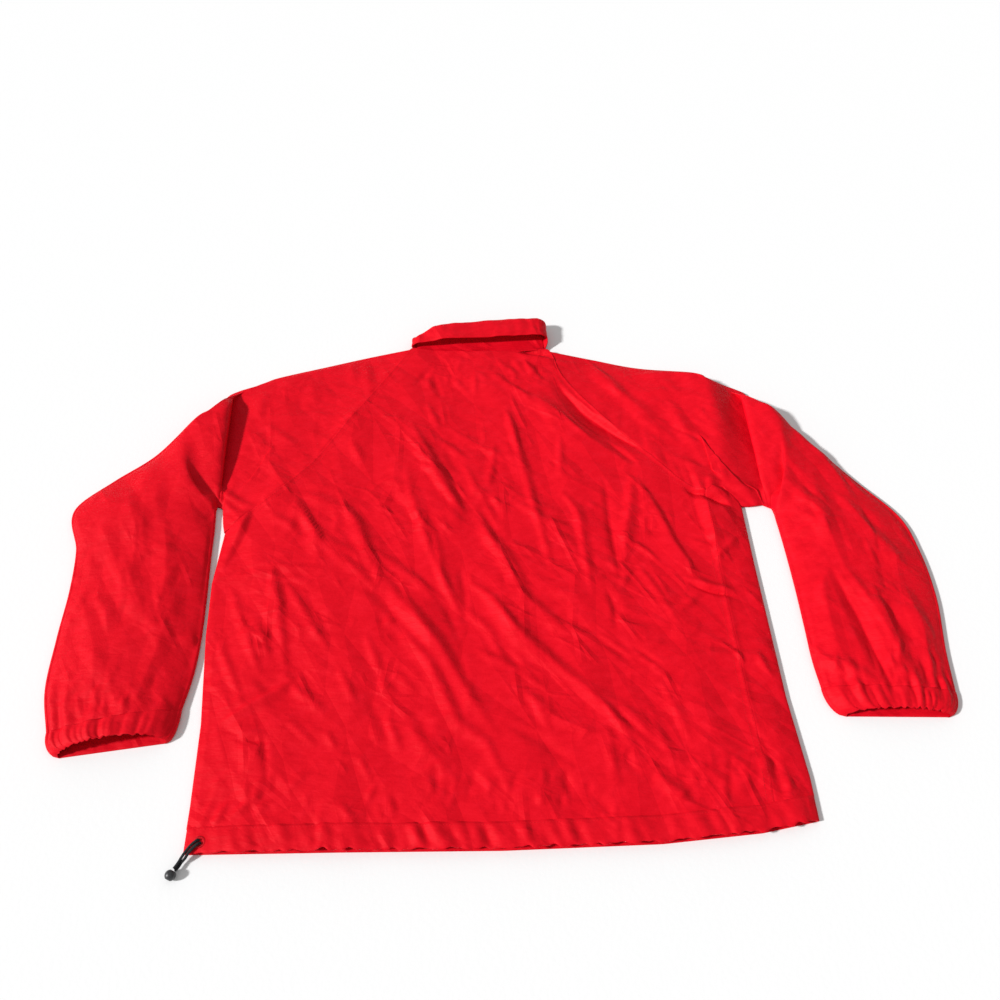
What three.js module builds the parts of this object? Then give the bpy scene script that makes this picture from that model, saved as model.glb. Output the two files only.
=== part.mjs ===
// Pullover anorak, laid out face down on a flat surface. The back panel, the raglan sleeves and the
// turned-down collar lie on top, and the front panel with its short zip lies beneath them.
// Millimetres, +Z up, +Y from the hem to the collar. Every piece is a closed wall of cloth.
import * as THREE from "three";

// ---- Driving dimensions ----
const CLOTH = 1.0; // wall of one layer
const DOUBLED = 1.6; // wall where the cloth is turned back on itself
const SEAM = 0.3; // gap between two pieces at a seam
const LEFT = -326; // side folds of the body at the underarm
const RIGHT = 328;
const HEM_DEPTH = 25;
const BODY_LOFT = 9.5; // height of the back panel over the surface, mid wall
const SIDE_LOFT = 4.9; // the same at the side folds
const SIDE_RAMP = 95; // distance over which it rises
const RAGLAN_STEPS = 9;
const UNDER_STEPS = 3; // steps across the underside of a sleeve
const UPWARD_CROWDING = 1.3; // sleeve points lie closer together towards the upper edge
const BODY_ROWS = 11;
const ZIP_X = 5;
const ZIP_BOTTOM = 436;
const ZIP_SLOT = 4; // half width
const ZIP_PIECES = {
  tape: { halfWidth: 14, y: [428, 622], z: [1.35, 1.95] },
  coil: { halfWidth: 2.6, y: [438, 590], z: [0.15, 1.05] },
  slider: { halfWidth: 3.4, y: [590.3, 602], z: [0.15, 1.05] },
  ribbon: { halfWidth: 2.2, y: [602.3, 622], z: [0.15, 0.95] },
};
const EDGE_TURN = 1.6; // how far a sleeve bulges where it turns over at its edges
const GATHER = 0.8; // height of the gathers at the mouth of a cuff
const NECK_HALF_WIDTH = 95;
const COLLAR_GAP = 0.03; // angle between the ends of the collar, which stand apart at the zip
const CORD_DIAMETER = 2.8;
const BALL_RADIUS = 5.5;

// Side folds and hem edge, by height above the middle of the hem.
const BODY_SIDES = [
  { y: 0, left: -322, right: 331 },
  { y: 60, left: -321, right: 332 },
  { y: 150, left: -322, right: 327 },
  { y: 260, left: -331, right: 327 },
  { y: 330, left: -333, right: 327 },
  { y: 404, left: LEFT, right: RIGHT },
];
const HEM_EDGE = [
  { x: -326, y: 11 },
  { x: -163, y: 6 },
  { x: 0, y: 0 },
  { x: 163, y: -1 },
  { x: 267, y: 5 },
  { x: 332, y: 15 },
];

// Seams, from the neck to the underarm.
const BACK_RAGLAN = {
  left: [[-96, 707], [-130, 653], [-180, 575], [-236, 492], [-318, 412]],
  right: [[105, 694], [120, 640], [164, 571], [215, 505], [258, 452], [283, 437]],
};
const FRONT_RAGLAN = {
  left: [[-92, 700], [-165, 590], [-240, 492], [-322, 405]],
  right: [[101, 690], [165, 590], [240, 495], [322, 413]],
};
// The back neck seam, and the collar's fold line and lower edge above it, by x.
const COLLAR = [
  { x: -92, seam: 709, fold: 733, edge: 714 },
  { x: -62, seam: 703, fold: 746, edge: 713 },
  { x: 0, seam: 696, fold: 749, edge: 711 },
  { x: 60, seam: 696, fold: 751, edge: 712 },
  { x: 100, seam: 699, fold: 751, edge: 716 },
];
const FRONT_NECK = [
  { x: -92, y: 700 },
  { x: -74, y: 671 },
  { x: -50, y: 646 },
  { x: -24, y: 632 },
  { x: 0.8, y: 628 },
  { x: 9.2, y: 628 },
  { x: 34, y: 632 },
  { x: 60, y: 648 },
  { x: 84, y: 672 },
  { x: 101, y: 692 },
];
// Upper edge of the front panel where it wraps over the right fold, from the fold to the side seam.
const WRAP_TOP = [{ x: 318, y: 429 }, { x: 308, y: 443 }, { x: 296, y: 440 }, { x: 283.4, y: 437 }];

// The largest folds of the back: a ridge (or a trough, when its height is negative) between two points.
const LOWEST_BACK = 4.5; // the least height of the back over the front
const BACK_FOLDS = [
  { x0: -142, y0: 360, x1: -20, y1: 150, height: 4.5, width: 24 },
  { x0: -20, y0: 150, x1: 24, y1: 60, height: 3.0, width: 20 },
  { x0: -10, y0: 303, x1: 184, y1: 79, height: 4.0, width: 24 },
  { x0: 16, y0: 346, x1: 146, y1: 226, height: 3.5, width: 22 },
  { x0: -96, y0: 571, x1: -24, y1: 410, height: 4.0, width: 22 },
  { x0: -245, y0: 455, x1: -125, y1: 304, height: 3.5, width: 22 },
  { x0: 156, y0: 460, x1: 160, y1: 306, height: -2.0, width: 20 },
  { x0: 79, y0: 627, x1: 207, y1: 492, height: -2.0, width: 20 },
  { x0: -301, y0: 147, x1: -226, y1: 190, height: 3.0, width: 20 },
];

// Sleeves. Each row is a section from the upper edge (ux, uy) to the lower edge (lx, ly), with the
// height of the top layer at the edges and at the crown. bow is how far its middle lies towards the body.
const SLEEVE_SECTIONS = {
  left: {
    before: [
      { ux: -155, uy: 698, lx: -329, ly: 420, edge: 5, crown: 9.5, bow: 14 },
      { ux: -212, uy: 683, lx: -331, ly: 434, edge: 5, crown: 9, bow: 6 },
    ],
    pleat: { x: -338, outward: -1, from: [-284, 661, -333, 444], to: [-376, 611, -341, 448] },
    after: [
      { ux: -433, uy: 558, lx: -343, ly: 440, edge: 7, crown: 25 },
      { ux: -478, uy: 506, lx: -343, ly: 428, edge: 7, crown: 22 },
      { ux: -517, uy: 450, lx: -342, ly: 410, edge: 6, crown: 19 },
      { ux: -504, uy: 385, lx: -341, ly: 366, edge: 6, crown: 18 },
      { ux: -500, uy: 330, lx: -339, ly: 312, edge: 6, crown: 17 },
      { ux: -501, uy: 262, lx: -338, ly: 252, edge: 6, crown: 17 },
      { ux: -499, uy: 195, lx: -341, ly: 206, edge: 6, crown: 19 },
      { ux: -486, uy: 147, lx: -348, ly: 166, edge: 7, crown: 21 },
    ],
    mouth: { ux: -468, uy: 120, lx: -359, ly: 131, edge: 9, crown: 22, back: 8 },
  },
  right: {
    before: [
      { ux: 165, uy: 678, lx: 338, ly: 416, edge: 5, crown: 10.5, bow: 14 },
      { ux: 231, uy: 657, lx: 347, ly: 417, edge: 5, crown: 12, bow: 6 },
    ],
    pleat: { x: 364, outward: 1, from: [300, 637, 355, 418], to: [392, 577, 366, 412] },
    after: [
      { ux: 420, uy: 536, lx: 368, ly: 404, edge: 6, crown: 22 },
      { ux: 449, uy: 493, lx: 369, ly: 390, edge: 6, crown: 20 },
      { ux: 478, uy: 449, lx: 370, ly: 372, edge: 6, crown: 19 },
      { ux: 523, uy: 384, lx: 371, ly: 334, edge: 6, crown: 18 },
      { ux: 532, uy: 335, lx: 371, ly: 290, edge: 6, crown: 17 },
      { ux: 532, uy: 270, lx: 370, ly: 240, edge: 6, crown: 17 },
      { ux: 520, uy: 195, lx: 369, ly: 192, edge: 6, crown: 17 },
      { ux: 515, uy: 148, lx: 371, ly: 160, edge: 6, crown: 17 },
    ],
    mouth: { ux: 500, uy: 121, lx: 391, ly: 127, edge: 7, crown: 15, back: 5 },
  },
};
// The shoulder pleats along the sleeve: out is measured from the fold line, away from the body. The
// cloth dips, runs under the fold, turns back and rises to it, and then goes on over the arm.
const PLEAT_PATH = {
  left: [
    { out: -50, z: 7.5 }, { out: -22, z: 5.6 }, { out: -3, z: 4.3 }, { out: 9, z: 3.7 }, { out: 12.5, z: 4.9 },
    { out: 10.5, z: 6.3 }, { out: 4, z: 9.5 }, { out: 0.5, z: 16 }, { out: 0.6, z: 22 }, { out: 5, z: 26 },
    { out: 16, z: 27 }, { out: 36, z: 26.5 },
  ],
  right: [
    { out: -56, z: 14 }, { out: -28, z: 10.5 }, { out: -6, z: 5 }, { out: 8, z: 3.7 }, { out: 11.5, z: 4.9 },
    { out: 9.5, z: 6.3 }, { out: 3.5, z: 9 }, { out: 0.5, z: 14 }, { out: 0.8, z: 19 }, { out: 5, z: 22 },
    { out: 14, z: 23 }, { out: 30, z: 23 },
  ],
};

// The two strands of the hem cord, from the eyelet over the corner of the hem to the ball.
const EYELET = { x: -305, y: 21, inner: 3.8, outer: 6.2, height: 0.6 };
const BALL = { x: -330.2, y: -9.5 };
const CORD_ROUTES = {
  drawcord_a: [
    [-305, 23, 8.9], [-307.6, 21.6, 10.8], [-312, 18, 10.5], [-316.5, 13, 9.2], [-320, 8.5, 7.6],
    [-322.8, 4, 6.4], [-325, 0.2, 6.2], [-327.4, -3.4, 6.5],
  ],
  drawcord_b: [
    [-303.2, 20, 8.9], [-305.8, 18.2, 10.8], [-310, 14.8, 10.4], [-314.2, 10.4, 9.0], [-317.4, 6.2, 6.6],
    [-320, 1.8, 3.8], [-322.2, -2.4, 2.8], [-325.2, -6.2, 3.8],
  ],
};

// ---- Finishes ----
const nylon = new THREE.MeshStandardMaterial({ color: 0xd9101f, roughness: 0.72, metalness: 0 });
const nylonDoubled = new THREE.MeshStandardMaterial({ color: 0xcf0e1d, roughness: 0.74, metalness: 0 });
const cordBlack = new THREE.MeshStandardMaterial({ color: 0x111112, roughness: 0.85, metalness: 0 });
const plasticBlack = new THREE.MeshStandardMaterial({ color: 0x1b1c1f, roughness: 0.4, metalness: 0 });
const threadRed = new THREE.MeshStandardMaterial({ color: 0xa80c18, roughness: 0.8, metalness: 0 });
const zipRed = new THREE.MeshStandardMaterial({ color: 0xb80d1a, roughness: 0.6, metalness: 0 });

// ---- Small helpers ----
const lerp = THREE.MathUtils.lerp;
const point = (x, y, z) => new THREE.Vector3(x, y, z);

/** Reads column `value` of a table at `at` of column `key`, with straight runs between its rows. */
function tabled(table, key, value, at) {
  const last = table.length - 1;
  if (at <= table[0][key]) return table[0][value];
  if (at >= table[last][key]) return table[last][value];
  const i = table.findIndex((row) => row[key] > at);
  const part = (at - table[i - 1][key]) / (table[i][key] - table[i - 1][key]);
  return lerp(table[i - 1][value], table[i][value], part);
}

/** `count` + 1 points along a smooth seam line. */
function seamPoints(line, count) {
  return new THREE.SplineCurve(line.map(([x, y]) => new THREE.Vector2(x, y))).getPoints(count);
}

/** Adds a mesh made of one geometry to the garment, or to a group in it, under its piece's name. */
function addPiece(name, geometry, material, parent = garment) {
  const mesh = new THREE.Mesh(geometry, material);
  mesh.name = name;
  parent.add(mesh);
}

/** The direction of a line of points at one of them: the mean of the unit steps before and after. */
function direction(points, i, closed) {
  const count = points.length;
  const mean = new THREE.Vector3();
  const step = new THREE.Vector3();
  if (closed || i > 0) mean.add(step.subVectors(points[i], points[(i + count - 1) % count]).normalize());
  if (closed || i < count - 1) mean.add(step.subVectors(points[(i + 1) % count], points[i]).normalize());
  return mean.normalize();
}

/** A closed wall of cloth about a mid surface, given as rows of points. A closed row is a ring. */
function clothWall(rows, { closed = false, thickness = CLOTH } = {}) {
  const rowCount = rows.length;
  const width = rows[0].length;
  const positions = [];
  for (const side of [0.5, -0.5]) {
    rows.forEach((row, j) => row.forEach((middle, i) => {
      const normal = direction(row, i, closed).cross(direction(rows.map((other) => other[i]), j, false));
      const skin = middle.clone().addScaledVector(normal.normalize(), side * thickness);
      positions.push(skin.x, skin.y, skin.z);
    }));
  }
  const outer = (j, i) => j * width + (i % width);
  const inner = (j, i) => rowCount * width + outer(j, i);
  const triangles = [];
  const quad = (a, b, c, d) => triangles.push([a, b, c], [a, c, d]);
  const last = rowCount - 1;
  const runs = closed ? width : width - 1;
  for (let i = 0; i < runs; i += 1) {
    for (let j = 0; j < last; j += 1) {
      quad(outer(j, i), outer(j, i + 1), outer(j + 1, i + 1), outer(j + 1, i));
      quad(inner(j, i), inner(j + 1, i), inner(j + 1, i + 1), inner(j, i + 1));
    }
    quad(outer(0, i + 1), outer(0, i), inner(0, i), inner(0, i + 1));
    quad(outer(last, i), outer(last, i + 1), inner(last, i + 1), inner(last, i));
  }
  if (!closed) {
    for (let j = 0; j < last; j += 1) {
      quad(outer(j, 0), outer(j + 1, 0), inner(j + 1, 0), inner(j, 0));
      quad(outer(j + 1, width - 1), outer(j, width - 1), inner(j, width - 1), inner(j + 1, width - 1));
    }
  }
  return facedOutwards(positions, triangles);
}

/** A geometry from a closed set of triangles, turned round if they enclose a negative volume. */
function facedOutwards(positions, triangles) {
  const corner = (index) => new THREE.Vector3().fromArray(positions, index * 3);
  let volume = 0;
  for (const [a, b, c] of triangles) volume += corner(a).dot(corner(b).cross(corner(c))) / 6;
  const geometry = new THREE.BufferGeometry();
  geometry.setAttribute("position", new THREE.Float32BufferAttribute(positions, 3));
  geometry.setIndex(triangles.flatMap(([a, b, c]) => (volume < 0 ? [a, c, b] : [a, b, c])));
  geometry.computeVertexNormals();
  return geometry;
}

// ---- The form of the body ----

const hemEdge = (x) => tabled(HEM_EDGE, "x", "y", x);
const hemSeam = (x) => hemEdge(x) + HEM_DEPTH;

/** The true x of a body column at height y: the side folds are not quite straight. */
function bodyX(x, y) {
  const share = (x - LEFT) / (RIGHT - LEFT);
  const left = tabled(BODY_SIDES, "y", "left", y) - LEFT;
  const right = tabled(BODY_SIDES, "y", "right", y) - RIGHT;
  return x + lerp(left, right, share);
}

/** Height of the body's top layer, mid wall: low at the side folds, with the largest folds on it. */
function backHeight(x, y) {
  const inwards = Math.max(0, Math.min(1, (x - LEFT) / SIDE_RAMP, (RIGHT - x) / SIDE_RAMP));
  const rise = Math.sin((inwards * Math.PI) / 2);
  let z = lerp(SIDE_LOFT, BODY_LOFT, rise);
  const place = new THREE.Vector2(x, y);
  for (const fold of BACK_FOLDS) {
    const start = new THREE.Vector2(fold.x0, fold.y0);
    const run = new THREE.Vector2(fold.x1, fold.y1).sub(start);
    const along = place.clone().sub(start).dot(run) / run.lengthSq();
    const nearest = THREE.MathUtils.clamp(along, 0, 1);
    const away = place.distanceTo(start.clone().addScaledVector(run, nearest));
    z += fold.height * Math.exp(-((away / fold.width) ** 2));
  }
  return Math.max(z, LOWEST_BACK);
}

const backRaglan = {
  left: seamPoints(BACK_RAGLAN.left, RAGLAN_STEPS),
  right: seamPoints(BACK_RAGLAN.right, RAGLAN_STEPS),
};
const frontRaglan = {
  left: seamPoints(FRONT_RAGLAN.left, RAGLAN_STEPS),
  right: seamPoints(FRONT_RAGLAN.right, RAGLAN_STEPS),
};
const frontNeck = (x) => tabled(FRONT_NECK, "x", "y", x);

/** Rows of points of a body panel. Each column has its x, its upper end and maybe a fixed height. */
function panelRows(columns) {
  const rows = [];
  for (let j = 0; j <= BODY_ROWS; j += 1) {
    rows.push(columns.map(({ x, top, z }) => {
      const y = lerp(hemSeam(x), top, j / BODY_ROWS);
      return point(bodyX(x, y), y, z ?? backHeight(x, y));
    }));
  }
  return rows;
}

/** The back panel: from the left side fold, where it turns down, over to the rolled side seam. */
function backPanel() {
  const fold = [{ x: LEFT + 0.5, top: 404, z: 1.4 }, { x: LEFT + 0.7, top: 404.5, z: 3.3 }];
  fold.push({ x: LEFT + 2.6, top: 406, z: 4.7 });
  const left = backRaglan.left.map(({ x, y }) => ({ x, top: y })).reverse();
  const neck = COLLAR.slice(0, -1).map(({ x, seam }) => ({ x, top: seam }));
  const right = backRaglan.right.map(({ x, y }) => ({ x, top: y }));
  return clothWall(panelRows([...fold, ...left, ...neck, { x: 99, top: 698 }, ...right]));
}

/** The front panel: flat on the surface, slit for the zip, and wrapped over the right side fold. */
function frontPanel() {
  const flat = CLOTH / 2;
  const columns = [{ x: LEFT + 0.5, top: 403 }];
  for (const { x, y } of [...frontRaglan.left].reverse()) columns.push({ x, top: y });
  const neck = FRONT_NECK.slice(1, -1).map(({ x, y }) => ({ x, top: y - SEAM }));
  columns.push(...neck.slice(0, 3));
  for (const side of [-1, 1]) {
    const outside = { x: ZIP_X + side * (ZIP_SLOT + 0.1), top: frontNeck(ZIP_X) - SEAM };
    const inside = { x: ZIP_X + side * ZIP_SLOT, top: ZIP_BOTTOM };
    columns.push(...(side < 0 ? [outside, inside] : [inside, outside]));
  }
  columns.push(...neck.slice(-3));
  for (const { x, y } of frontRaglan.right) columns.push({ x, top: y });
  columns.forEach((column) => Object.assign(column, { z: flat }));
  const radius = (SIDE_LOFT - flat) / 2;
  for (const turn of [-50, 0, 50]) {
    const angle = THREE.MathUtils.degToRad(turn);
    const x = RIGHT - radius - 0.6 + radius * Math.cos(angle);
    columns.push({ x, top: 412 + turn / 25, z: flat + radius + radius * Math.sin(angle) });
  }
  columns.push(...WRAP_TOP.map(({ x, y }) => ({ x, top: y })));
  return clothWall(panelRows(columns));
}

/** The hem casing: a flattened ring, open at the hem, with the cord run inside it. */
function hemCasing() {
  const xs = [-318, -280, -230, -163, -110, -55, 0, 55, 110, 163, 215, 267, 300, 320];
  const low = DOUBLED / 2;
  const loop = xs.map((x) => ({ x, z: low }));
  for (const z of [low + 0.5, 2.9, 4.6]) loop.push({ x: z === 2.9 ? 326.8 : 326, z });
  for (const x of [...xs].reverse()) loop.push({ x, z: null });
  for (const z of [4.6, 2.9, low + 0.5]) loop.push({ x: z === 2.9 ? -324.8 : -324, z });
  const rows = [0, 0.5, 1].map((share) => loop.map(({ x, z }) => {
    const y = hemEdge(x) + share * (HEM_DEPTH - SEAM);
    return point(bodyX(x, y), y, z ?? backHeight(x, y));
  }));
  return clothWall(rows, { closed: true, thickness: DOUBLED });
}

// ---- Sleeves ----

/** How full a sleeve section stands at a share of the way across it. */
const fullness = (share) => Math.sin(Math.PI * THREE.MathUtils.clamp(share, 0.02, 0.98)) ** 0.4;

/** One ring of a sleeve: the top layer from the upper to the lower edge, then back underneath. */
function sleeveRing(section, topCount, pleat) {
  const { ux, uy, lx, ly, edge, crown } = section;
  const upper = new THREE.Vector2(ux, uy);
  const reach = new THREE.Vector2(lx, ly).sub(upper);
  const outwards = reach.clone().normalize();
  const bodyward = new THREE.Vector2(-outwards.y, outwards.x).multiplyScalar(-Math.sign(ux));
  const low = CLOTH / 2;
  const placed = (share) => upper.clone().addScaledVector(reach, share)
    .addScaledVector(bodyward, (section.bow ?? 0) * Math.sin(Math.PI * share));
  const top = [];
  for (let k = 0; k < topCount; k += 1) {
    const share = (k / (topCount - 1)) ** UPWARD_CROWDING;
    const place = placed(share);
    const full = fullness(share);
    if (pleat) place.x = lerp(place.x, pleat.x, THREE.MathUtils.smoothstep(full, 0.35, 0.75));
    top.push(point(place.x, place.y, lerp(edge, crown, full)));
  }
  const bottom = [];
  for (let k = UNDER_STEPS; k >= 0; k -= 1) {
    const place = placed(k / UNDER_STEPS);
    bottom.push(point(place.x, place.y, low));
  }
  return closedRing(top, bottom, outwards, edge, low);
}

/** Joins a top and a bottom line of points by a small turn at each edge. */
function closedRing(top, bottom, outwards, edge, low) {
  const turn = (end, side, heights) => heights.map((share) => {
    const bulge = EDGE_TURN * (share === 0.5 ? 1.4 : 1);
    const place = end.clone();
    place.x += side * outwards.x * bulge;
    place.y += side * outwards.y * bulge;
    place.z = lerp(low, edge, share);
    return place;
  });
  const lowerTurn = turn(top[top.length - 1], 1, [0.85, 0.5, 0.15]);
  const upperTurn = turn(top[0], -1, [0.15, 0.5, 0.85]);
  return [...top, ...lowerTurn, ...bottom, ...upperTurn];
}

/** The ring at the armhole: along the back raglan seam on top and the front raglan seam beneath. */
function armholeRing(side) {
  const outward = side === "left" ? -1 : 1;
  const off = (place, z) => point(place.x + outward * SEAM, place.y + SEAM, z);
  const seam = side === "left" ? backRaglan.left : [...backRaglan.right, ...WRAP_TOP.slice(0, 2).reverse()];
  const top = seam.map((place) => off(place, backHeight(place.x, place.y)));
  for (const place of top.slice(RAGLAN_STEPS)) place.y += SEAM;
  const under = frontRaglan[side].filter((_, k) => k % (RAGLAN_STEPS / UNDER_STEPS) === 0).reverse();
  const bottom = under.map((place) => off(place, CLOTH / 2));
  const end = new THREE.Vector2(outward * 0.6, -0.8);
  const ring = closedRing(top, bottom, end, SIDE_LOFT, CLOTH / 2);
  const fold = off(side === "left" ? { x: LEFT, y: 404 } : { x: RIGHT - 1, y: 414 }, 0);
  for (const [step, z] of [[0, 4.2], [1, 2.7], [2, 1.2]]) {
    ring[top.length + step] = point(fold.x + (step === 1 ? outward * 0.8 : 0), fold.y + 0.2, z);
  }
  return ring;
}

/** The sections of one sleeve from the armhole to the cuff, with the shoulder pleat worked in. */
function sleeveRings(side) {
  const armhole = armholeRing(side);
  const topCount = armhole.length - UNDER_STEPS - 1 - 6;
  const { before, pleat, after } = SLEEVE_SECTIONS[side];
  const path = PLEAT_PATH[side];
  const pleatRings = path.map(({ out, z }, k) => {
    const share = k / (path.length - 1);
    const [ux, uy, lx, ly] = pleat.from.map((value, n) => lerp(value, pleat.to[n], share));
    const fold = { x: pleat.x + pleat.outward * out };
    return sleeveRing({ ux, uy, lx, ly, edge: 5.2, crown: z }, topCount, fold);
  });
  const plain = (section) => sleeveRing(section, topCount, null);
  return [armhole, ...before.map(plain), ...pleatRings, ...after.map(plain)];
}

/** A cuff: the gathered casing from the end of the sleeve to its open mouth. */
function cuff(side, seamRing) {
  const { mouth } = SLEEVE_SECTIONS[side];
  const open = sleeveRing(mouth, seamRing.length - UNDER_STEPS - 1 - 6, null);
  const rows = [0, 0.5, 1].map((share) => seamRing.map((start, k) => {
    const end = open[k];
    const place = start.clone().lerp(end, share);
    const lift = share * THREE.MathUtils.clamp((end.z - 1) / mouth.crown, 0, 1);
    place.y += lift * mouth.back - 1.5 * SEAM;
    place.z += DOUBLED / 2 - CLOTH / 2 + (end.z > 1 ? share * (k % 2 ? GATHER : -GATHER) : 0);
    return place;
  }));
  return clothWall(rows, { closed: true, thickness: DOUBLED });
}

// ---- Collar ----

/** A line round the neck at one depth of the collar. wider opens it over the stand. */
function neckLine(back, front, wider) {
  const line = [];
  const steps = 32;
  for (let k = 0; k <= steps; k += 1) {
    const angle = -Math.PI / 2 - COLLAR_GAP / 2 - (k / steps) * (2 * Math.PI - COLLAR_GAP);
    const cos = Math.cos(angle);
    const sin = Math.sin(angle);
    const half = NECK_HALF_WIDTH + wider;
    const x = 4 + half * Math.sign(cos) * Math.abs(cos) ** 0.75;
    const lift = THREE.MathUtils.clamp(0.5 + 0.9 * sin, 0, 1);
    const across = Math.min(1, lift / 0.6); // the ends drop below the back panel before they turn under
    line.push(point(x, lerp(front.y(x), back.y(x), across), lerp(front.z, back.z, lift)));
  }
  return line;
}

/** Rows of the collar from a table of depths: 0 is the neck seam and 1 the fold line. */
function collarRows(table) {
  return table.map(({ depth, fall, backZ, frontZ, wider }) => {
    const from = (x) => (fall ? tabled(COLLAR, "x", "edge", x) : tabled(COLLAR, "x", "seam", x) + SEAM + 0.4);
    const back = { y: (x) => lerp(from(x), tabled(COLLAR, "x", "fold", x), depth), z: backZ };
    const start = fall ? 10 : SEAM + 0.4;
    const front = { y: (x) => frontNeck(x) + lerp(start, 46, depth), z: frontZ };
    return neckLine(back, front, wider);
  });
}

const STAND_ROWS = [
  { depth: 0, fall: false, backZ: 9.5, frontZ: 0.8, wider: -3 },
  { depth: 0.2, fall: false, backZ: 11, frontZ: 2.4, wider: -3 },
  { depth: 0.6, fall: false, backZ: 15, frontZ: 2.5, wider: -3 },
  { depth: 0.92, fall: false, backZ: 17.6, frontZ: 2.5, wider: -3 },
];
const FALL_ROWS = [
  { depth: 0.95, fall: true, backZ: 18.0, frontZ: 2.4, wider: -3 },
  { depth: 1.0, fall: true, backZ: 20.2, frontZ: 1.5, wider: -1 },
  { depth: 0.93, fall: true, backZ: 22.8, frontZ: 0.6, wider: 1 },
  { depth: 0.5, fall: true, backZ: 23.6, frontZ: 0.5, wider: 2 },
  { depth: 0, fall: true, backZ: 20.5, frontZ: 0.5, wider: 3 },
];

// ---- Zip, hidden under the body ----

/** A flat strip of the zip, centred on it. */
function zipStrip({ halfWidth, y, z }) {
  const geometry = new THREE.BoxGeometry(2 * halfWidth, y[1] - y[0], z[1] - z[0]);
  return geometry.translate(ZIP_X, (y[0] + y[1]) / 2, (z[0] + z[1]) / 2);
}

// ---- Hem cord ----

/** A strand of cord along a smooth route. */
function strand(route) {
  const curve = new THREE.CatmullRomCurve3(route.map((place) => point(...place)), false, "centripetal");
  const section = new THREE.Shape();
  section.absarc(0, 0, CORD_DIAMETER / 2, 0, 2 * Math.PI);
  return new THREE.ExtrudeGeometry(section, { steps: 9, curveSegments: 8, extrudePath: curve });
}

/** The stitched ring that the cord comes out of, a flat washer on the hem casing. */
function eyelet() {
  const { inner, outer, height, x, y } = EYELET;
  const corners = [[inner, 0], [outer, 0], [outer, height], [inner, height], [inner, 0]];
  const ring = new THREE.LatheGeometry(corners.map(([r, h]) => new THREE.Vector2(r, h)), 16);
  ring.rotateX(Math.PI / 2);
  const seat = Math.max(backHeight(x + outer, y), backHeight(x, y + outer)) + DOUBLED / 2 + SEAM;
  return ring.translate(x, y, seat);
}

// ---- Assembly ----
const garment = new THREE.Group();

addPiece("back_panel", backPanel(), nylon);
addPiece("front_panel", frontPanel(), nylon);
addPiece("hem_casing", hemCasing(), nylonDoubled);
for (const side of ["left", "right"]) {
  const rings = sleeveRings(side);
  addPiece(`sleeve_${side}`, clothWall(rings, { closed: true }), nylon);
  addPiece(`cuff_${side}`, cuff(side, rings[rings.length - 1]), nylonDoubled);
}
addPiece("collar_stand", clothWall(collarRows(STAND_ROWS)), nylon);
addPiece("collar_fall", clothWall(collarRows(FALL_ROWS)), nylonDoubled);

addPiece("zip_tape", zipStrip(ZIP_PIECES.tape), zipRed);
addPiece("zip_coil", zipStrip(ZIP_PIECES.coil), zipRed);
addPiece("zip_slider", zipStrip(ZIP_PIECES.slider), plasticBlack);
addPiece("zip_pull_ribbon", zipStrip(ZIP_PIECES.ribbon), threadRed);

addPiece("drawcord_eyelet", eyelet(), threadRed);

// The origin is on the surface under the middle of the garment, its free cord left out.
const box = new THREE.Box3().setFromObject(garment);
const middle = box.getCenter(new THREE.Vector3());
garment.position.set(-middle.x, -middle.y, -box.min.z);

const hemCord = new THREE.Group();
garment.add(hemCord);
for (const [name, route] of Object.entries(CORD_ROUTES)) addPiece(name, strand(route), cordBlack, hemCord);
const ball = new THREE.SphereGeometry(BALL_RADIUS, 16, 12).translate(BALL.x, BALL.y, BALL_RADIUS);
addPiece("drawcord_ball", ball, plasticBlack, hemCord);

export default garment;
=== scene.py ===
"""A pullover anorak laid out face down: cloth, seams, zip, hem cord, floor, lights and camera."""

from __future__ import annotations

import logging
import math
from dataclasses import dataclass, field, replace
from enum import Enum
from typing import Callable, Iterable, Sequence

import bmesh
import bpy
import numpy as np
from mathutils import Matrix, Vector


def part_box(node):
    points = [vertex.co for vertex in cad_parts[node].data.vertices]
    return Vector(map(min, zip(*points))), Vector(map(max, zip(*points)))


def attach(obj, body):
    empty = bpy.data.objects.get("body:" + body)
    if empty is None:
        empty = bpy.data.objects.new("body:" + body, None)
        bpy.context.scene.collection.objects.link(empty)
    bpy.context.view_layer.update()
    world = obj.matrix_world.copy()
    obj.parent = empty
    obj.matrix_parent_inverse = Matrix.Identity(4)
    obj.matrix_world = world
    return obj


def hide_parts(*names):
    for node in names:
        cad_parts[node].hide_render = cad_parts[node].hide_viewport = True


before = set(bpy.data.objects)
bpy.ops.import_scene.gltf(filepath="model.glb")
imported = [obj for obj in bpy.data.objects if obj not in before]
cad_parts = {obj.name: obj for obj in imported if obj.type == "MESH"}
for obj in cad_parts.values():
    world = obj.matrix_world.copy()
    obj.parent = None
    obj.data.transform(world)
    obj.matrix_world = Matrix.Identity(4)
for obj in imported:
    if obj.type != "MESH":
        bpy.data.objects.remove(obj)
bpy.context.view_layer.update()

MM = 0.001
BODY = "root"
log = logging.getLogger("anorak")

Array = np.ndarray
Point = tuple[float, float, float]
Place = tuple[float, float]


class Side(Enum):
    """The two sides of the garment as it lies."""

    LEFT = "left"
    RIGHT = "right"

    @property
    def outward(self) -> int:
        """The sign of x away from the body."""
        return -1 if self is Side.LEFT else 1


class Slot(Enum):
    """The record's material slots."""

    NYLON = "nylon"
    DOUBLED = "nylon_doubled"
    THREAD = "thread"
    ZIP = "zip"
    CORD = "cord"
    PLASTIC = "toggle_plastic"


# ---- Curves and surfaces ----


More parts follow.
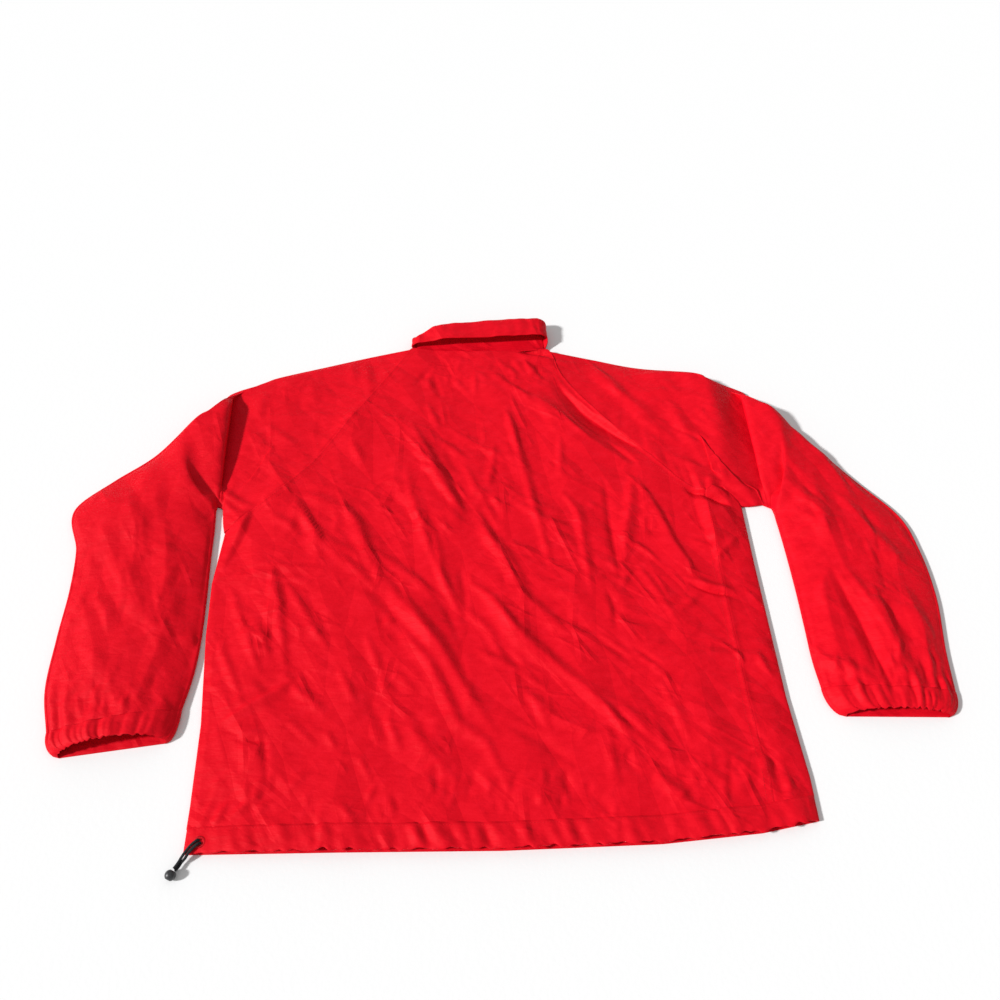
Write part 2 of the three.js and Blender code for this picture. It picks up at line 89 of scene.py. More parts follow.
def smoothstep(value: Array, low: float, high: float) -> Array:
    """Rises smoothly from 0 at low to 1 at high.

    Args:
        value: Where to read it.
        low: Where the rise starts.
        high: Where it ends.

    Returns:
        The height of the step at each value.
    """
    share = np.clip((value - low) / (high - low), 0.0, 1.0)
    return share * share * (3.0 - 2.0 * share)


def spline(line: Sequence[Sequence[float]], at: Array) -> Array:
    """Reads a smooth line through points at shares of its length in points.

    Args:
        line: The points that it goes through.
        at: Shares from 0 to 1.

    Returns:
        One point for each share.
    """
    points = np.asarray(line, dtype=float)
    spans = len(points) - 1
    step = np.clip(at, 0.0, 1.0) * spans
    first = np.minimum(step.astype(int), spans - 1)
    part = (step - first)[:, None]
    before = points[np.maximum(first - 1, 0)]
    start, end = points[first], points[first + 1]
    after = points[np.minimum(first + 2, spans)]
    leave, arrive = (end - before) / 2, (after - start) / 2
    return (
        (2 * start - 2 * end + leave + arrive) * part**3
        + (-3 * start + 3 * end - 2 * leave - arrive) * part**2
        + leave * part
        + start
    )


def smooth_rows(rows: Array, spacing: float) -> tuple[Array, Array]:
    """Fills in rows of points between given rows, on smooth curves through them.

    Args:
        rows: Rows of points, all of the same count.
        spacing: The largest distance between two new rows, in millimetres.

    Returns:
        The new rows, and the index among the given rows that each lies at.
    """
    gaps = np.linalg.norm(np.diff(rows, axis=0), axis=2).mean(axis=1)
    slopes = np.diff(rows, axis=0) / gaps[:, None, None]
    tangents = np.empty_like(rows)
    tangents[0], tangents[-1] = slopes[0], slopes[-1]
    share = (gaps[:-1] / (gaps[:-1] + gaps[1:]))[:, None, None]
    tangents[1:-1] = slopes[:-1] * (1 - share) + slopes[1:] * share
    filled, indices = [], []
    for i, gap in enumerate(gaps):
        steps = max(2, math.ceil(gap / spacing))
        for k in range(steps + (i == len(gaps) - 1)):
            t = k / steps
            start = (1 + 2 * t) * (1 - t) ** 2 * rows[i] + t * (1 - t) ** 2 * gap * tangents[i]
            end = t * t * (3 - 2 * t) * rows[i + 1] + t * t * (t - 1) * gap * tangents[i + 1]
            filled.append(start + end)
            indices.append(i + t)
    return np.array(filled), np.array(indices)


def normals_of(points: Array, closed: bool) -> Array:
    """The unit normals of a surface given as rows of points.

    Args:
        points: Rows of points, with the first point again at the end of a closed row.
        closed: Whether each row is a ring.

    Returns:
        One normal for each point.
    """
    along = np.gradient(points, axis=1)
    if closed:
        seam = (points[:, 1] - points[:, -2]) / 2
        along[:, 0] = along[:, -1] = seam
    normal = np.cross(along, np.gradient(points, axis=0))
    return normal / np.maximum(np.linalg.norm(normal, axis=2, keepdims=True), 1e-9)


@dataclass(frozen=True)
class Ripple:
    """Uneven waves over a surface, the sum of a few sines of seeded direction and length."""

    seed: int
    shortest: float
    longest: float
    heading: float = 0.0
    spread: float = math.pi
    count: int = 7

    def at(self, x: Array, y: Array) -> Array:
        """Height of the waves, mostly from -1 to 1.

        Args:
            x: Places across, in millimetres.
            y: Places along, in millimetres.

        Returns:
            The height at each place.
        """
        rng = np.random.default_rng(self.seed)
        total = np.zeros(np.broadcast(x, y).shape)
        for _ in range(self.count):
            length = rng.uniform(self.shortest, self.longest)
            angle = self.heading + rng.uniform(-self.spread, self.spread)
            phase = rng.uniform(0, 2 * math.pi)
            wave = (x * math.cos(angle) + y * math.sin(angle)) * 2 * math.pi / length
            total = total + np.sin(wave + phase)
        return total / math.sqrt(self.count / 2) / 1.6


@dataclass(frozen=True)
class Crease:
    """A ridge of cloth, or a trough where its height is negative, along a line in plan.

    near is its width to the left of the line and far its width to the right. It is highest at peak,
    a share of its length, and dies away towards both ends.
    """

    line: tuple[Place, ...]
    height: float
    near: float = 16.0
    far: float = 16.0
    peak: float = 0.5
    sharp: float = 1.05

    def lift(self, x: Array, y: Array) -> Array:
        """How much the crease raises the cloth.

        Args:
            x: Places across, in millimetres.
            y: Places along, in millimetres.

        Returns:
            The rise at each place.
        """
        line = np.asarray(self.line, dtype=float)
        reach = max(self.near, self.far)
        low, high = line.min(axis=0) - reach, line.max(axis=0) + reach
        inside = (x > low[0]) & (x < high[0]) & (y > low[1]) & (y < high[1])
        rise = np.zeros(x.shape)
        if not inside.any():
            return rise
        px, py = x[inside], y[inside]
        runs = np.diff(line, axis=0)
        lengths = np.hypot(runs[:, 0], runs[:, 1])
        closest = np.full(px.shape, np.inf)
        side = np.zeros(px.shape)
        share = np.zeros(px.shape)
        passed = 0.0
        for start, run, length in zip(line, runs, lengths):
            along = np.clip(((px - start[0]) * run[0] + (py - start[1]) * run[1]) / length**2, 0, 1)
            dx, dy = px - start[0] - along * run[0], py - start[1] - along * run[1]
            away = np.hypot(dx, dy)
            nearer = away < closest
            closest = np.where(nearer, away, closest)
            side = np.where(nearer, run[0] * dy - run[1] * dx, side)
            share = np.where(nearer, (passed + along * length) / lengths.sum(), share)
            passed += length
        swell = np.where(share < self.peak, share / self.peak, (1 - share) / (1 - self.peak))
        swell = np.sin(np.clip(swell, 0, 1) * math.pi / 2) ** 0.9
        width = np.where(side > 0, self.near, self.far) * (0.35 + 0.65 * swell)
        blunt = np.sqrt(closest**2 + 0.3) - 0.55
        rise[inside] = self.height * swell * np.clip(1 - blunt / width, 0, 1) ** self.sharp
        return rise


def scattered(
    seed: int,
    count: int,
    box: tuple[float, float, float, float],
    heading: float,
    spread: float,
    length: Place,
    height: Place,
    width: Place,
) -> list[Crease]:
    """Small creases of seeded place, size and direction.

    Args:
        seed: Seed of the random numbers.
        count: How many.
        box: Where they start: lowest x, lowest y, highest x, highest y.
        heading: Their main direction, in degrees from x.
        spread: Standard deviation of the direction, in degrees.
        length: Shortest and longest.
        height: Lowest and highest. Some are negative, as troughs.
        width: Narrowest and widest, on each side.

    Returns:
        The creases.
    """
    rng = np.random.default_rng(seed)
    creases = []
    for _ in range(count):
        x, y = rng.uniform(box[0], box[2]), rng.uniform(box[1], box[3])
        angle = math.radians(rng.normal(heading, spread))
        long = rng.uniform(*length)
        bend = rng.normal(0, 0.06) * long
        dx, dy = math.cos(angle), math.sin(angle)
        middle = (x + dx * long / 2 - dy * bend, y + dy * long / 2 + dx * bend)
        sizes = rng.uniform(width[0], width[1], 2)
        high = rng.uniform(*height) * (-1 if rng.random() < 0.3 else 1)
        line = ((x, y), middle, (x + dx * long, y + dy * long))
        creases.append(Crease(line, high, sizes[0], sizes[1], rng.uniform(0.25, 0.75), 1.1))
    return creases


def scaled(creases: Iterable[Crease], height: float, near: float, far: float) -> list[Crease]:
    """The same creases, higher or lower and with wider or narrower sides.

    Args:
        creases: The creases.
        height: What each height is multiplied by.
        near: What each near side's width is multiplied by.
        far: What each far side's width is multiplied by.

    Returns:
        The new creases, in the same order.
    """
    return [
        replace(
            crease, height=crease.height * height, near=crease.near * near, far=crease.far * far
        )
        for crease in creases
    ]


def lifted(creases: Iterable[Crease], x: Array, y: Array) -> Array:
    """The rise of many creases together.

    Args:
        creases: The creases.
        x: Places across, in millimetres.
        y: Places along, in millimetres.

    Returns:
        The rise at each place.
    """
    total = np.zeros(x.shape)
    for crease in creases:
        total += crease.lift(x, y)
    return total


# ---- From points to Blender objects ----


@dataclass(frozen=True)
class Lay:
    """Where the garment's own millimetres lie in the frame: x and y of its zip tell the shift."""

    zip_x: float = 5.0
    coil_bottom: float = 438.0

    def shift(self) -> Array:
        """The place of the garment's origin in the frame, in metres."""
        low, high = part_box("zip_coil")
        across = (low[0] + high[0]) / 2 - self.zip_x * MM
        return np.array([across, low[1] - self.coil_bottom * MM, 0.0])

    def metres(self, points: Array) -> Array:
        """Turns points from garment millimetres into frame metres."""
        return np.asarray(points, dtype=float) * MM + SHIFT


SHIFT = Lay().shift()
LAY = Lay()


def link(name: str, mesh: bpy.types.Mesh, material: bpy.types.Material) -> bpy.types.Object:
    """Puts a mesh in the scene as an object with one material.

    Args:
        name: The object's name.
        mesh: Its mesh.
        material: Its material.

    Returns:
        The object.
    """
    mesh.name = name
    mesh.materials.append(material)
    piece = bpy.data.objects.new(name, mesh)
    bpy.context.scene.collection.objects.link(piece)
    return piece


def surface(
    name: str,
    points: Array,
    material: bpy.types.Material,
    size: Place,
    closed: bool = False,
    thickness: float = 0.7,
    keep: Callable[[Array], bool] | None = None,
) -> bpy.types.Object:
    """A wall of cloth about rows of points, with a UV map in metres.

    Args:
        name: The piece's name.
        points: Rows of points in garment millimetres, a closed row with its first point at the end.
        material: Its material.
        size: Its width and length in metres, for the UV map.
        closed: Whether each row is a ring.
        thickness: The wall, in millimetres.
        keep: Tells which faces stay, by their centres in garment millimetres.

    Returns:
        The piece.
    """
    rows, columns = points.shape[:2]
    bm = bmesh.new()
    bm.loops.layers.uv.new("UVMap")
    bmesh.ops.create_grid(bm, x_segments=columns - 1, y_segments=rows - 1, size=0.5, calc_uvs=True)
    mesh = bpy.data.meshes.new(name)
    bm.to_mesh(mesh)
    flat = np.empty(len(mesh.vertices) * 3, dtype=np.float32)
    mesh.vertices.foreach_get("co", flat)
    flat = flat.reshape(-1, 3) + 0.5
    placed = points[
        np.rint(flat[:, 1] * (rows - 1)).astype(int),
        np.rint(flat[:, 0] * (columns - 1)).astype(int)
    ]
    mesh.vertices.foreach_set("co", LAY.metres(placed).astype(np.float32).ravel())
    uv = np.empty(len(mesh.loops) * 2, dtype=np.float32)
    mesh.uv_layers[0].data.foreach_get("uv", uv)
    mesh.uv_layers[0].data.foreach_set(
        "uv", (uv.reshape(-1, 2) * np.array(size, dtype=np.float32)).ravel()
    )
    bm.clear()
    bm.from_mesh(mesh)
    if keep is not None:
        centres = [(face, (np.array(face.calc_center_median()) - SHIFT) / MM) for face in bm.faces]
        cut = [face for face, centre in centres if not keep(centre)]
        bmesh.ops.delete(bm, geom=cut, context="FACES")
    if closed:
        bmesh.ops.remove_doubles(bm, verts=bm.verts, dist=1e-6)
    bm.to_mesh(mesh)
    bm.free()
    mesh.shade_smooth()
    piece = link(name, mesh, material)
    wall = piece.modifiers.new("wall", "SOLIDIFY")
    wall.thickness = thickness * MM
    wall.offset = 0.0
    wall.use_even_offset = False
    piece.modifiers.new("flat_shading", "WEIGHTED_NORMAL")
    return piece


def declare(piece: bpy.types.Object, slot: Slot, *nodes: str) -> bpy.types.Object:
    """Lets a piece ride with the garment and hides the nodes it stands for.

    Args:
        piece: The piece.
        slot: The record's material slot. Not used.
        nodes: The nodes that it replaces.

    Returns:
        The piece.
    """
    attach(piece, BODY)
    if nodes:
        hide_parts(*nodes)
    corners = sum(len(polygon.vertices) - 2 for polygon in piece.data.polygons)
    log.info("%s: %d triangles before its modifiers", piece.name, corners)
    return piece


# ---- Finishes ----


@dataclass
class NodeBook:
    """Builds a material's nodes."""

    material: bpy.types.Material

    @classmethod
    def open(cls, name: str) -> NodeBook:
        """A new material with an empty node tree."""
        material = bpy.data.materials.new(name)
        material.use_nodes = True
        material.node_tree.nodes.clear()
        return cls(material)

    def node(self, kind: str, **values: object) -> bpy.types.Node:
        """Adds a node and sets its properties and inputs.

        Args:
            kind: The node's type, without the prefix ShaderNode.
            values: Properties by name. A name that ends in _in sets the input that it names.

        Returns:
            The node.
        """
        node = self.material.node_tree.nodes.new(f"ShaderNode{kind}")
        for name, value in values.items():
            if name.endswith("_in"):
                node.inputs[name[:-3].replace("_", " ")].default_value = value
            else:
                setattr(node, name, value)
        return node

    def join(
        self, start: bpy.types.Node, out: str | int, end: bpy.types.Node, into: str | int
    ) -> None:
        """Links an output to an input."""
        self.material.node_tree.links.new(start.outputs[out], end.inputs[into])

    def mapped(self, source: str, cell: Point, turn: float = 0.0) -> bpy.types.Node:
        """Coordinates turned and then divided by the size of a cell.

        Args:
            source: The output of Texture Coordinate to use.
            cell: The cell's size along its own axes, in metres.
            turn: The heading of its first axis, in degrees.

        Returns:
            The mapping node.
        """
        place = self.node("TexCoord")
        mapping = self.node("Mapping", vector_type="TEXTURE")
        mapping.inputs["Scale"].default_value = cell
        mapping.inputs["Rotation"].default_value = (0.0, 0.0, math.radians(turn))
        self.join(place, source, mapping, "Vector")
        return mapping

    def noise(
        self, source: str, cell: Point, turn: float = 0.0, detail: float = 3.0
    ) -> bpy.types.Node:
        """Noise on mapped coordinates.

        Args:
            source: The output of Texture Coordinate to use.
            cell: The size of its cells along their own axes, in metres.
            turn: The heading of their first axis, in degrees.
            detail: The noise's detail.

        Returns:
            The noise node.
        """
        noise = self.node("TexNoise", Scale_in=1.0, Detail_in=detail, Roughness_in=0.55)
        self.join(self.mapped(source, cell, turn), 0, noise, "Vector")
        return noise

    def bump(
        self, height: bpy.types.Node, out: str | int, depth: float, under: bpy.types.Node | None
    ) -> bpy.types.Node:
        """A bump of a real depth on another.

        Args:
            height: The node that gives the height.
            out: Its output.
            depth: The depth in metres.
            under: The bump beneath, or None.

        Returns:
            The bump node.
        """
        bump = self.node("Bump", Strength_in=1.0, Distance_in=depth)
        self.join(height, out, bump, "Height")
        if under is not None:
            self.join(under, "Normal", bump, "Normal")
        return bump

    def ramp(
        self, source: bpy.types.Node, out: str | int, stops: Sequence[tuple[float, Sequence[float]]]
    ) -> bpy.types.Node:
        """A colour ramp over a value.

        Args:
            source: The node that gives the value.
            out: Its output.
            stops: Positions and linear colours, lowest first.

        Returns:
            The ramp node.
        """
        ramp = self.node("ValToRGB")
        elements = ramp.color_ramp.elements
        while len(elements) < len(stops):
            elements.new(0.5)
        for element, (position, colour) in zip(elements, stops):
            element.position = position
            element.color = (*colour, 1.0)
        self.join(source, out, ramp, "Fac")
        return ramp

    def finish(
        self,
        colour: bpy.types.Node | None,
        bump: bpy.types.Node | None,
        **values: object,
    ) -> bpy.types.Material:
        """Adds the shader and the output.

        Args:
            colour: The node whose colour it takes, or None where values gives Base_Color.
            bump: The last bump, or None.
            values: Inputs of the shader, by name.

        Returns:
            The material.
        """
        shader = self.node("BsdfPrincipled")
        for name, value in values.items():
            shader.inputs[name.replace("_", " ")].default_value = value
        if colour is not None:
            self.join(colour, 0, shader, "Base Color")
        if bump is not None:
            self.join(bump, "Normal", shader, "Normal")
        output = self.node("OutputMaterial")
        self.join(shader, "BSDF", output, "Surface")
        return self.material


@dataclass(frozen=True)
class Nylon:
    """Matt red taslan nylon: a fine plain weave with a soft, crinkled hand."""

    name: str = "nylon_red"
    deep: Point = (0.60, 0.0012, 0.0090)
    mid: Point = (0.655, 0.0020, 0.011)
    worn: Point = (0.70, 0.0038, 0.015)
    crinkle: float = 1.0
    bend: Point = (0.09, 0.09, 0.09)

    def cells(self, book: NodeBook, cell: Point, turn: float) -> bpy.types.Node:
        """Straight-edged cells, whose distance to their edges folds the cloth in facets.

        Args:
            book: The material's nodes.
            cell: The cell's size in metres.
            turn: Its heading, in degrees.

        Returns:
            The node.
        """
        place = book.mapped("Object", cell, turn)
        sway = book.node("TexNoise", Scale_in=1.3, Detail_in=2.0)
        book.join(place, 0, sway, "Vector")
        bent = book.node("VectorMath", operation="MULTIPLY_ADD")
        bent.inputs[1].default_value = self.bend
        book.join(sway, "Color", bent, 0)
        book.join(place, 0, bent, 2)
        cells = book.node(
            "TexVoronoi", voronoi_dimensions="2D", feature="DISTANCE_TO_EDGE", Scale_in=1.0
        )
        book.join(bent, 0, cells, "Vector")
        return cells

    def patched(
        self, book: NodeBook, height: bpy.types.Node, out: str, patch: float, low: float
    ) -> bpy.types.Node:
        """Lets a height show in soft patches only.

        Args:
            book: The material's nodes.
            height: The node that gives the height.
            out: Its output.
            patch: The size of a patch in metres.
            low: The share of the noise below which nothing shows.

        Returns:
            The node of the patchy height.
        """
        patches = book.noise("Object", (patch,) * 3, 10.0, 2.0)
        shown = book.ramp(patches, "Fac", ((low, (0.0,) * 3), (low + 0.14, (1.0,) * 3)))
        drawn = book.node("Math", operation="MULTIPLY")
        book.join(height, out, drawn, 0)
        book.join(shown, 0, drawn, 1)
        return drawn

    def material(self) -> bpy.types.Material:
        """Builds the material."""
        book = NodeBook.open(self.name)
        mottle = book.noise("Object", (0.016, 0.009, 0.01), 20.0, 5.0)
        stops = ((0.25, self.deep), (0.5, self.mid), (0.78, self.worn))
        colour = book.ramp(mottle, "Fac", stops)
        facets = self.cells(book, (0.130, 0.055, 1.0), -60.0)
        bump = book.bump(facets, "Distance", 0.0050 * self.crinkle, None)
        small = self.patched(
            book, self.cells(book, (0.048, 0.020, 1.0), -35.0), "Distance", 0.11, 0.45
        )
        bump = book.bump(small, 0, 0.0022 * self.crinkle, bump)
        for cell, turn, depth in (
            ((0.110, 0.045, 1.0), -64.0, 0.0011), ((0.055, 0.030, 1.0), -18.0, 0.0005)
        ):
            line = book.ramp(
                self.cells(book, cell, turn), "Distance", ((0.0, (1.0,) * 3), (0.10, (0.0,) * 3))
            )
            bump = book.bump(
                self.patched(book, line, "Color", 0.06, 0.49), 0, depth * self.crinkle, bump
            )
        bump = book.bump(
            book.noise("Object", (0.030, 0.0070, 0.02), -5.0, 5.0), "Fac", 0.0010, bump
        )
        bump = book.bump(
            book.noise("Object", (0.0036, 0.0024, 0.003), 6.0, 3.0), "Fac", 0.00026, bump
        )
        warp = book.node("TexWave", wave_type="BANDS", bands_direction="X", Scale_in=1.0)
        book.join(book.mapped("UV", (0.002, 0.002, 1.0)), 0, warp, "Vector")
        bump = book.bump(warp, "Fac", 0.00002, bump)
        return book.finish(colour, bump, Roughness=0.56, Specular_IOR_Level=0.075)


@dataclass(frozen=True)
class Thread:
    """Twisted polyester sewing thread, a shade deeper than the cloth."""

    name: str = "thread_red"
    dark: Point = (0.52, 0.004, 0.010)
    light: Point = (0.68, 0.007, 0.018)

    def material(self) -> bpy.types.Material:
        """Builds the material."""
        book = NodeBook.open(self.name)
        grain = book.noise("Object", (0.0011,) * 3, 0.0, 2.0)
        colour = book.ramp(grain, "Fac", ((0.3, self.dark), (0.7, self.light)))
        return book.finish(
            colour, book.bump(grain, "Fac", 0.0001, None), Roughness=0.6, Specular_IOR_Level=0.2
        )


@dataclass(frozen=True)
class Braid:
    """Black elastic cord with a braided cover, its pattern on the cord's own UV map, with painted
    shade in the gaps between the yarns.
    """

    name: str = "cord_black"
    # gap is painted shade: the cord is painted darker in the gaps between its yarns, where shade
    # falls.
    gap: Point = (0.003, 0.003, 0.0035)
    yarn: Point = (0.018, 0.018, 0.020)

    def material(self) -> bpy.types.Material:
        """Builds the material."""
        book = NodeBook.open(self.name)
        yarns = []
        for turn in (40.0, -40.0):
            wave = book.node(
                "TexWave", wave_type="BANDS", bands_direction="X", Scale_in=1.0, Distortion_in=0.4
            )
            book.join(book.mapped("UV", (0.0036, 0.0036, 1.0), turn), 0, wave, "Vector")
            yarns.append(wave)
        weave = book.node("Math", operation="MAXIMUM")
        book.join(yarns[0], "Fac", weave, 0)
        book.join(yarns[1], "Fac", weave, 1)
        # Painted shade: the colour goes dark where the weave is low, between the yarns.
        colour = book.ramp(weave, 0, ((0.35, self.gap), (0.9, self.yarn)))
        return book.finish(
            colour, book.bump(weave, 0, 0.0003, None), Roughness=0.75, Specular_IOR_Level=0.3
        )


@dataclass(frozen=True)
class Moulded:
    """Moulded plastic with a fine spark-eroded grain."""

    name: str
    dark: Point
    light: Point
    roughness: float = 0.38

    def material(self) -> bpy.types.Material:
        """Builds the material."""
        book = NodeBook.open(self.name)
        grain = book.noise("Object", (0.0014,) * 3, 0.0, 3.0)
        colour = book.ramp(grain, "Fac", ((0.35, self.dark), (0.7, self.light)))
        bump = book.bump(grain, "Fac", 0.00008, None)
        return book.finish(colour, bump, Roughness=self.roughness, Specular_IOR_Level=0.5)


@dataclass(frozen=True)
class Tape:
    """Woven zip tape and ribbon, ribbed across its length, with painted shade in the hollows
    between the ribs.
    """

    name: str = "zip_woven_red"
    # dark is painted shade in the hollows between the ribs.
    dark: Point = (0.30, 0.003, 0.008)
    light: Point = (0.46, 0.006, 0.014)

    def material(self) -> bpy.types.Material:
        """Builds the material."""
        book = NodeBook.open(self.name)
        rib = book.node(
            "TexWave", wave_type="BANDS", bands_direction="Y", Scale_in=1.0, Distortion_in=0.6
        )
        book.join(book.mapped("Object", (0.0033,) * 3), 0, rib, "Vector")
        # Painted shade: darker where the rib is low.
        colour = book.ramp(rib, "Fac", ((0.2, self.dark), (0.8, self.light)))
        return book.finish(
            colour, book.bump(rib, "Fac", 0.00012, None), Roughness=0.7, Specular_IOR_Level=0.2
        )


@dataclass(frozen=True)
class Backdrop:
    """Pale matt studio paper."""

    name: str = "studio_paper"
    tone: Point = (0.82, 0.82, 0.82)

    def material(self) -> bpy.types.Material:
        """Builds the material."""
        book = NodeBook.open(self.name)
        grain = book.noise("Object", (0.0055,) * 3, 0.0, 2.0)
        bump = book.bump(grain, "Fac", 0.0001, None)
        return book.finish(
            None, bump, Base_Color=(*self.tone, 1.0), Roughness=0.95, Specular_IOR_Level=0.05
        )


@dataclass
class Finishes:
    """All the garment's materials, each made once."""

    nylon: bpy.types.Material = field(default_factory=lambda: Nylon().material())
    doubled: bpy.types.Material = field(
        default_factory=lambda: Nylon(
            "nylon_red_doubled", (0.58, 0.0014, 0.0090), (0.645, 0.0022, 0.011),
            (0.69, 0.0038, 0.014), 0.7
        ).material()
    )
    arm: bpy.types.Material = field(
        default_factory=lambda: Nylon("nylon_red_arm", crinkle=0.6).material()
    )
    thread: bpy.types.Material = field(default_factory=lambda: Thread().material())
    cord: bpy.types.Material = field(default_factory=lambda: Braid().material())
    ball: bpy.types.Material = field(
        default_factory=lambda: Moulded(
            "plastic_black", (0.018, 0.018, 0.020), (0.045, 0.045, 0.048)
        ).material()
    )
    zip: bpy.types.Material = field(default_factory=lambda: Tape().material())
    coil: bpy.types.Material = field(
        default_factory=lambda: Moulded(
            "zip_coil_red", (0.34, 0.004, 0.010), (0.50, 0.008, 0.016), 0.35
        ).material()
    )
    paper: bpy.types.Material = field(default_factory=lambda: Backdrop().material())


# ---- The form of the garment ----


@dataclass
class Form:
    """The true shape of the body and its seams, in garment millimetres.

    The origin is on the surface at the middle of the hem, x runs across and y from the hem to the
    collar. The back, the sleeves and the collar lie on top.
    """

    cloth: float = 1.0
    doubled: float = 1.6
    seam: float = 0.3
    left: float = -326.0
    right: float = 328.0
    hem_depth: float = 25.0
    body_loft: float = 9.5
    rest: float = 1.8
    side_loft: float = 4.9
    side_ramp: float = 95.0
    sides: tuple[Point, ...] = (
        (0, -322, 331), (60, -321, 332), (150, -322, 327), (260, -331, 327), (330, -333, 327),
        (404, -326, 328),
    )
    hem_line: tuple[Place, ...] = ((-326, 11), (-163, 6), (0, 0), (163, -1), (267, 5), (332, 15))
    back_raglan: dict[Side, tuple[Place, ...]] = field(default_factory=lambda: {
        Side.LEFT: ((-96, 707), (-130, 653), (-180, 575), (-236, 492), (-318, 412)),
        Side.RIGHT: ((105, 694), (120, 640), (164, 571), (215, 505), (258, 452), (283, 437)),
    })
    front_raglan: dict[Side, tuple[Place, ...]] = field(default_factory=lambda: {
        Side.LEFT: ((-92, 700), (-165, 590), (-240, 492), (-322, 405)),
        Side.RIGHT: ((101, 690), (165, 590), (240, 495), (322, 413)),
    })
    collar: tuple[tuple[float, float, float, float], ...] = (
        (-92, 709, 725, 714), (-62, 703, 743, 714), (0, 696, 749, 715), (60, 696, 751, 716),
        (100, 699, 751, 717),
    )
    front_neck: tuple[Place, ...] = (
        (-92, 700), (-74, 671), (-50, 646), (-24, 632), (0.8, 628), (9.2, 628), (34, 632),
        (60, 648), (84, 672), (101, 692),
    )
    wrap_top: tuple[Place, ...] = ((318, 429), (308, 443), (296, 440), (283.1, 437))
    creases: list[Crease] = field(default_factory=list)

    def hem_edge(self, x: Array) -> Array:
        """The y of the hem's edge at each x."""
        line = np.array(self.hem_line)
        return np.interp(x, line[:, 0], line[:, 1])

    def hem_seam(self, x: Array) -> Array:
        """The y of the seam between the hem casing and the panels at each x."""
        return self.hem_edge(x) + self.hem_depth

    def collar_at(self, x: Array, column: int) -> Array:
        """Reads the collar's table: column 1 is the neck seam, 2 the fold and 3 the lower edge."""
        table = np.array(self.collar)
        return np.interp(x, table[:, 0], table[:, column])

    def neck_front(self, x: Array) -> Array:
        """The y of the front neckline at each x."""
        line = np.array(self.front_neck)
        return np.interp(x, line[:, 0], line[:, 1])

    def body_x(self, x: Array, y: Array) -> Array:
        """The true x of a body column at height y, because the side folds are not quite straight.

        Args:
            x: The column's x at the underarm.
            y: Heights above the hem.

        Returns:
            The x at each height.
        """
        table = np.array(self.sides)
        share = (x - self.left) / (self.right - self.left)
        left = np.interp(y, table[:, 0], table[:, 1]) - self.left
        right = np.interp(y, table[:, 0], table[:, 2]) - self.right
        return x + left * (1 - share) + right * share

    def loft(self, x: Array) -> Array:
        """The plain height of the top layer over the surface at each x, mid wall."""
        inwards = np.clip(np.minimum((x - self.left), (self.right - x)) / self.side_ramp, 0, 1)
        return self.side_loft + (self.body_loft - self.side_loft) * np.sin(inwards * math.pi / 2)

    def back_height(self, x: Array, y: Array) -> Array:
        """The height of the top layer with its creases.

        Args:
            x: Places across.
            y: Places along.

        Returns:
            The height of the middle of the wall at each place.
        """
        calm = smoothstep(np.minimum(x - self.left, self.right - x), 0.0, 26.0)
        waves = (
            self.rest + 1.2 * Ripple(11, 90, 210, 0.6, 0.8).at(x, y)
            + 0.25 * Ripple(12, 30, 70, 0.7, 0.7).at(x, y)
        )
        rise = lifted(self.creases, x, y) + waves
        return np.maximum(self.loft(x) + rise * (0.3 + 0.7 * calm), 3.2)

    def raglan(self, side: Side, at: Array) -> Array:
        """Points of the back raglan seam, from the neck at 0 to the underarm at 1."""
        return spline(self.back_raglan[side], at)


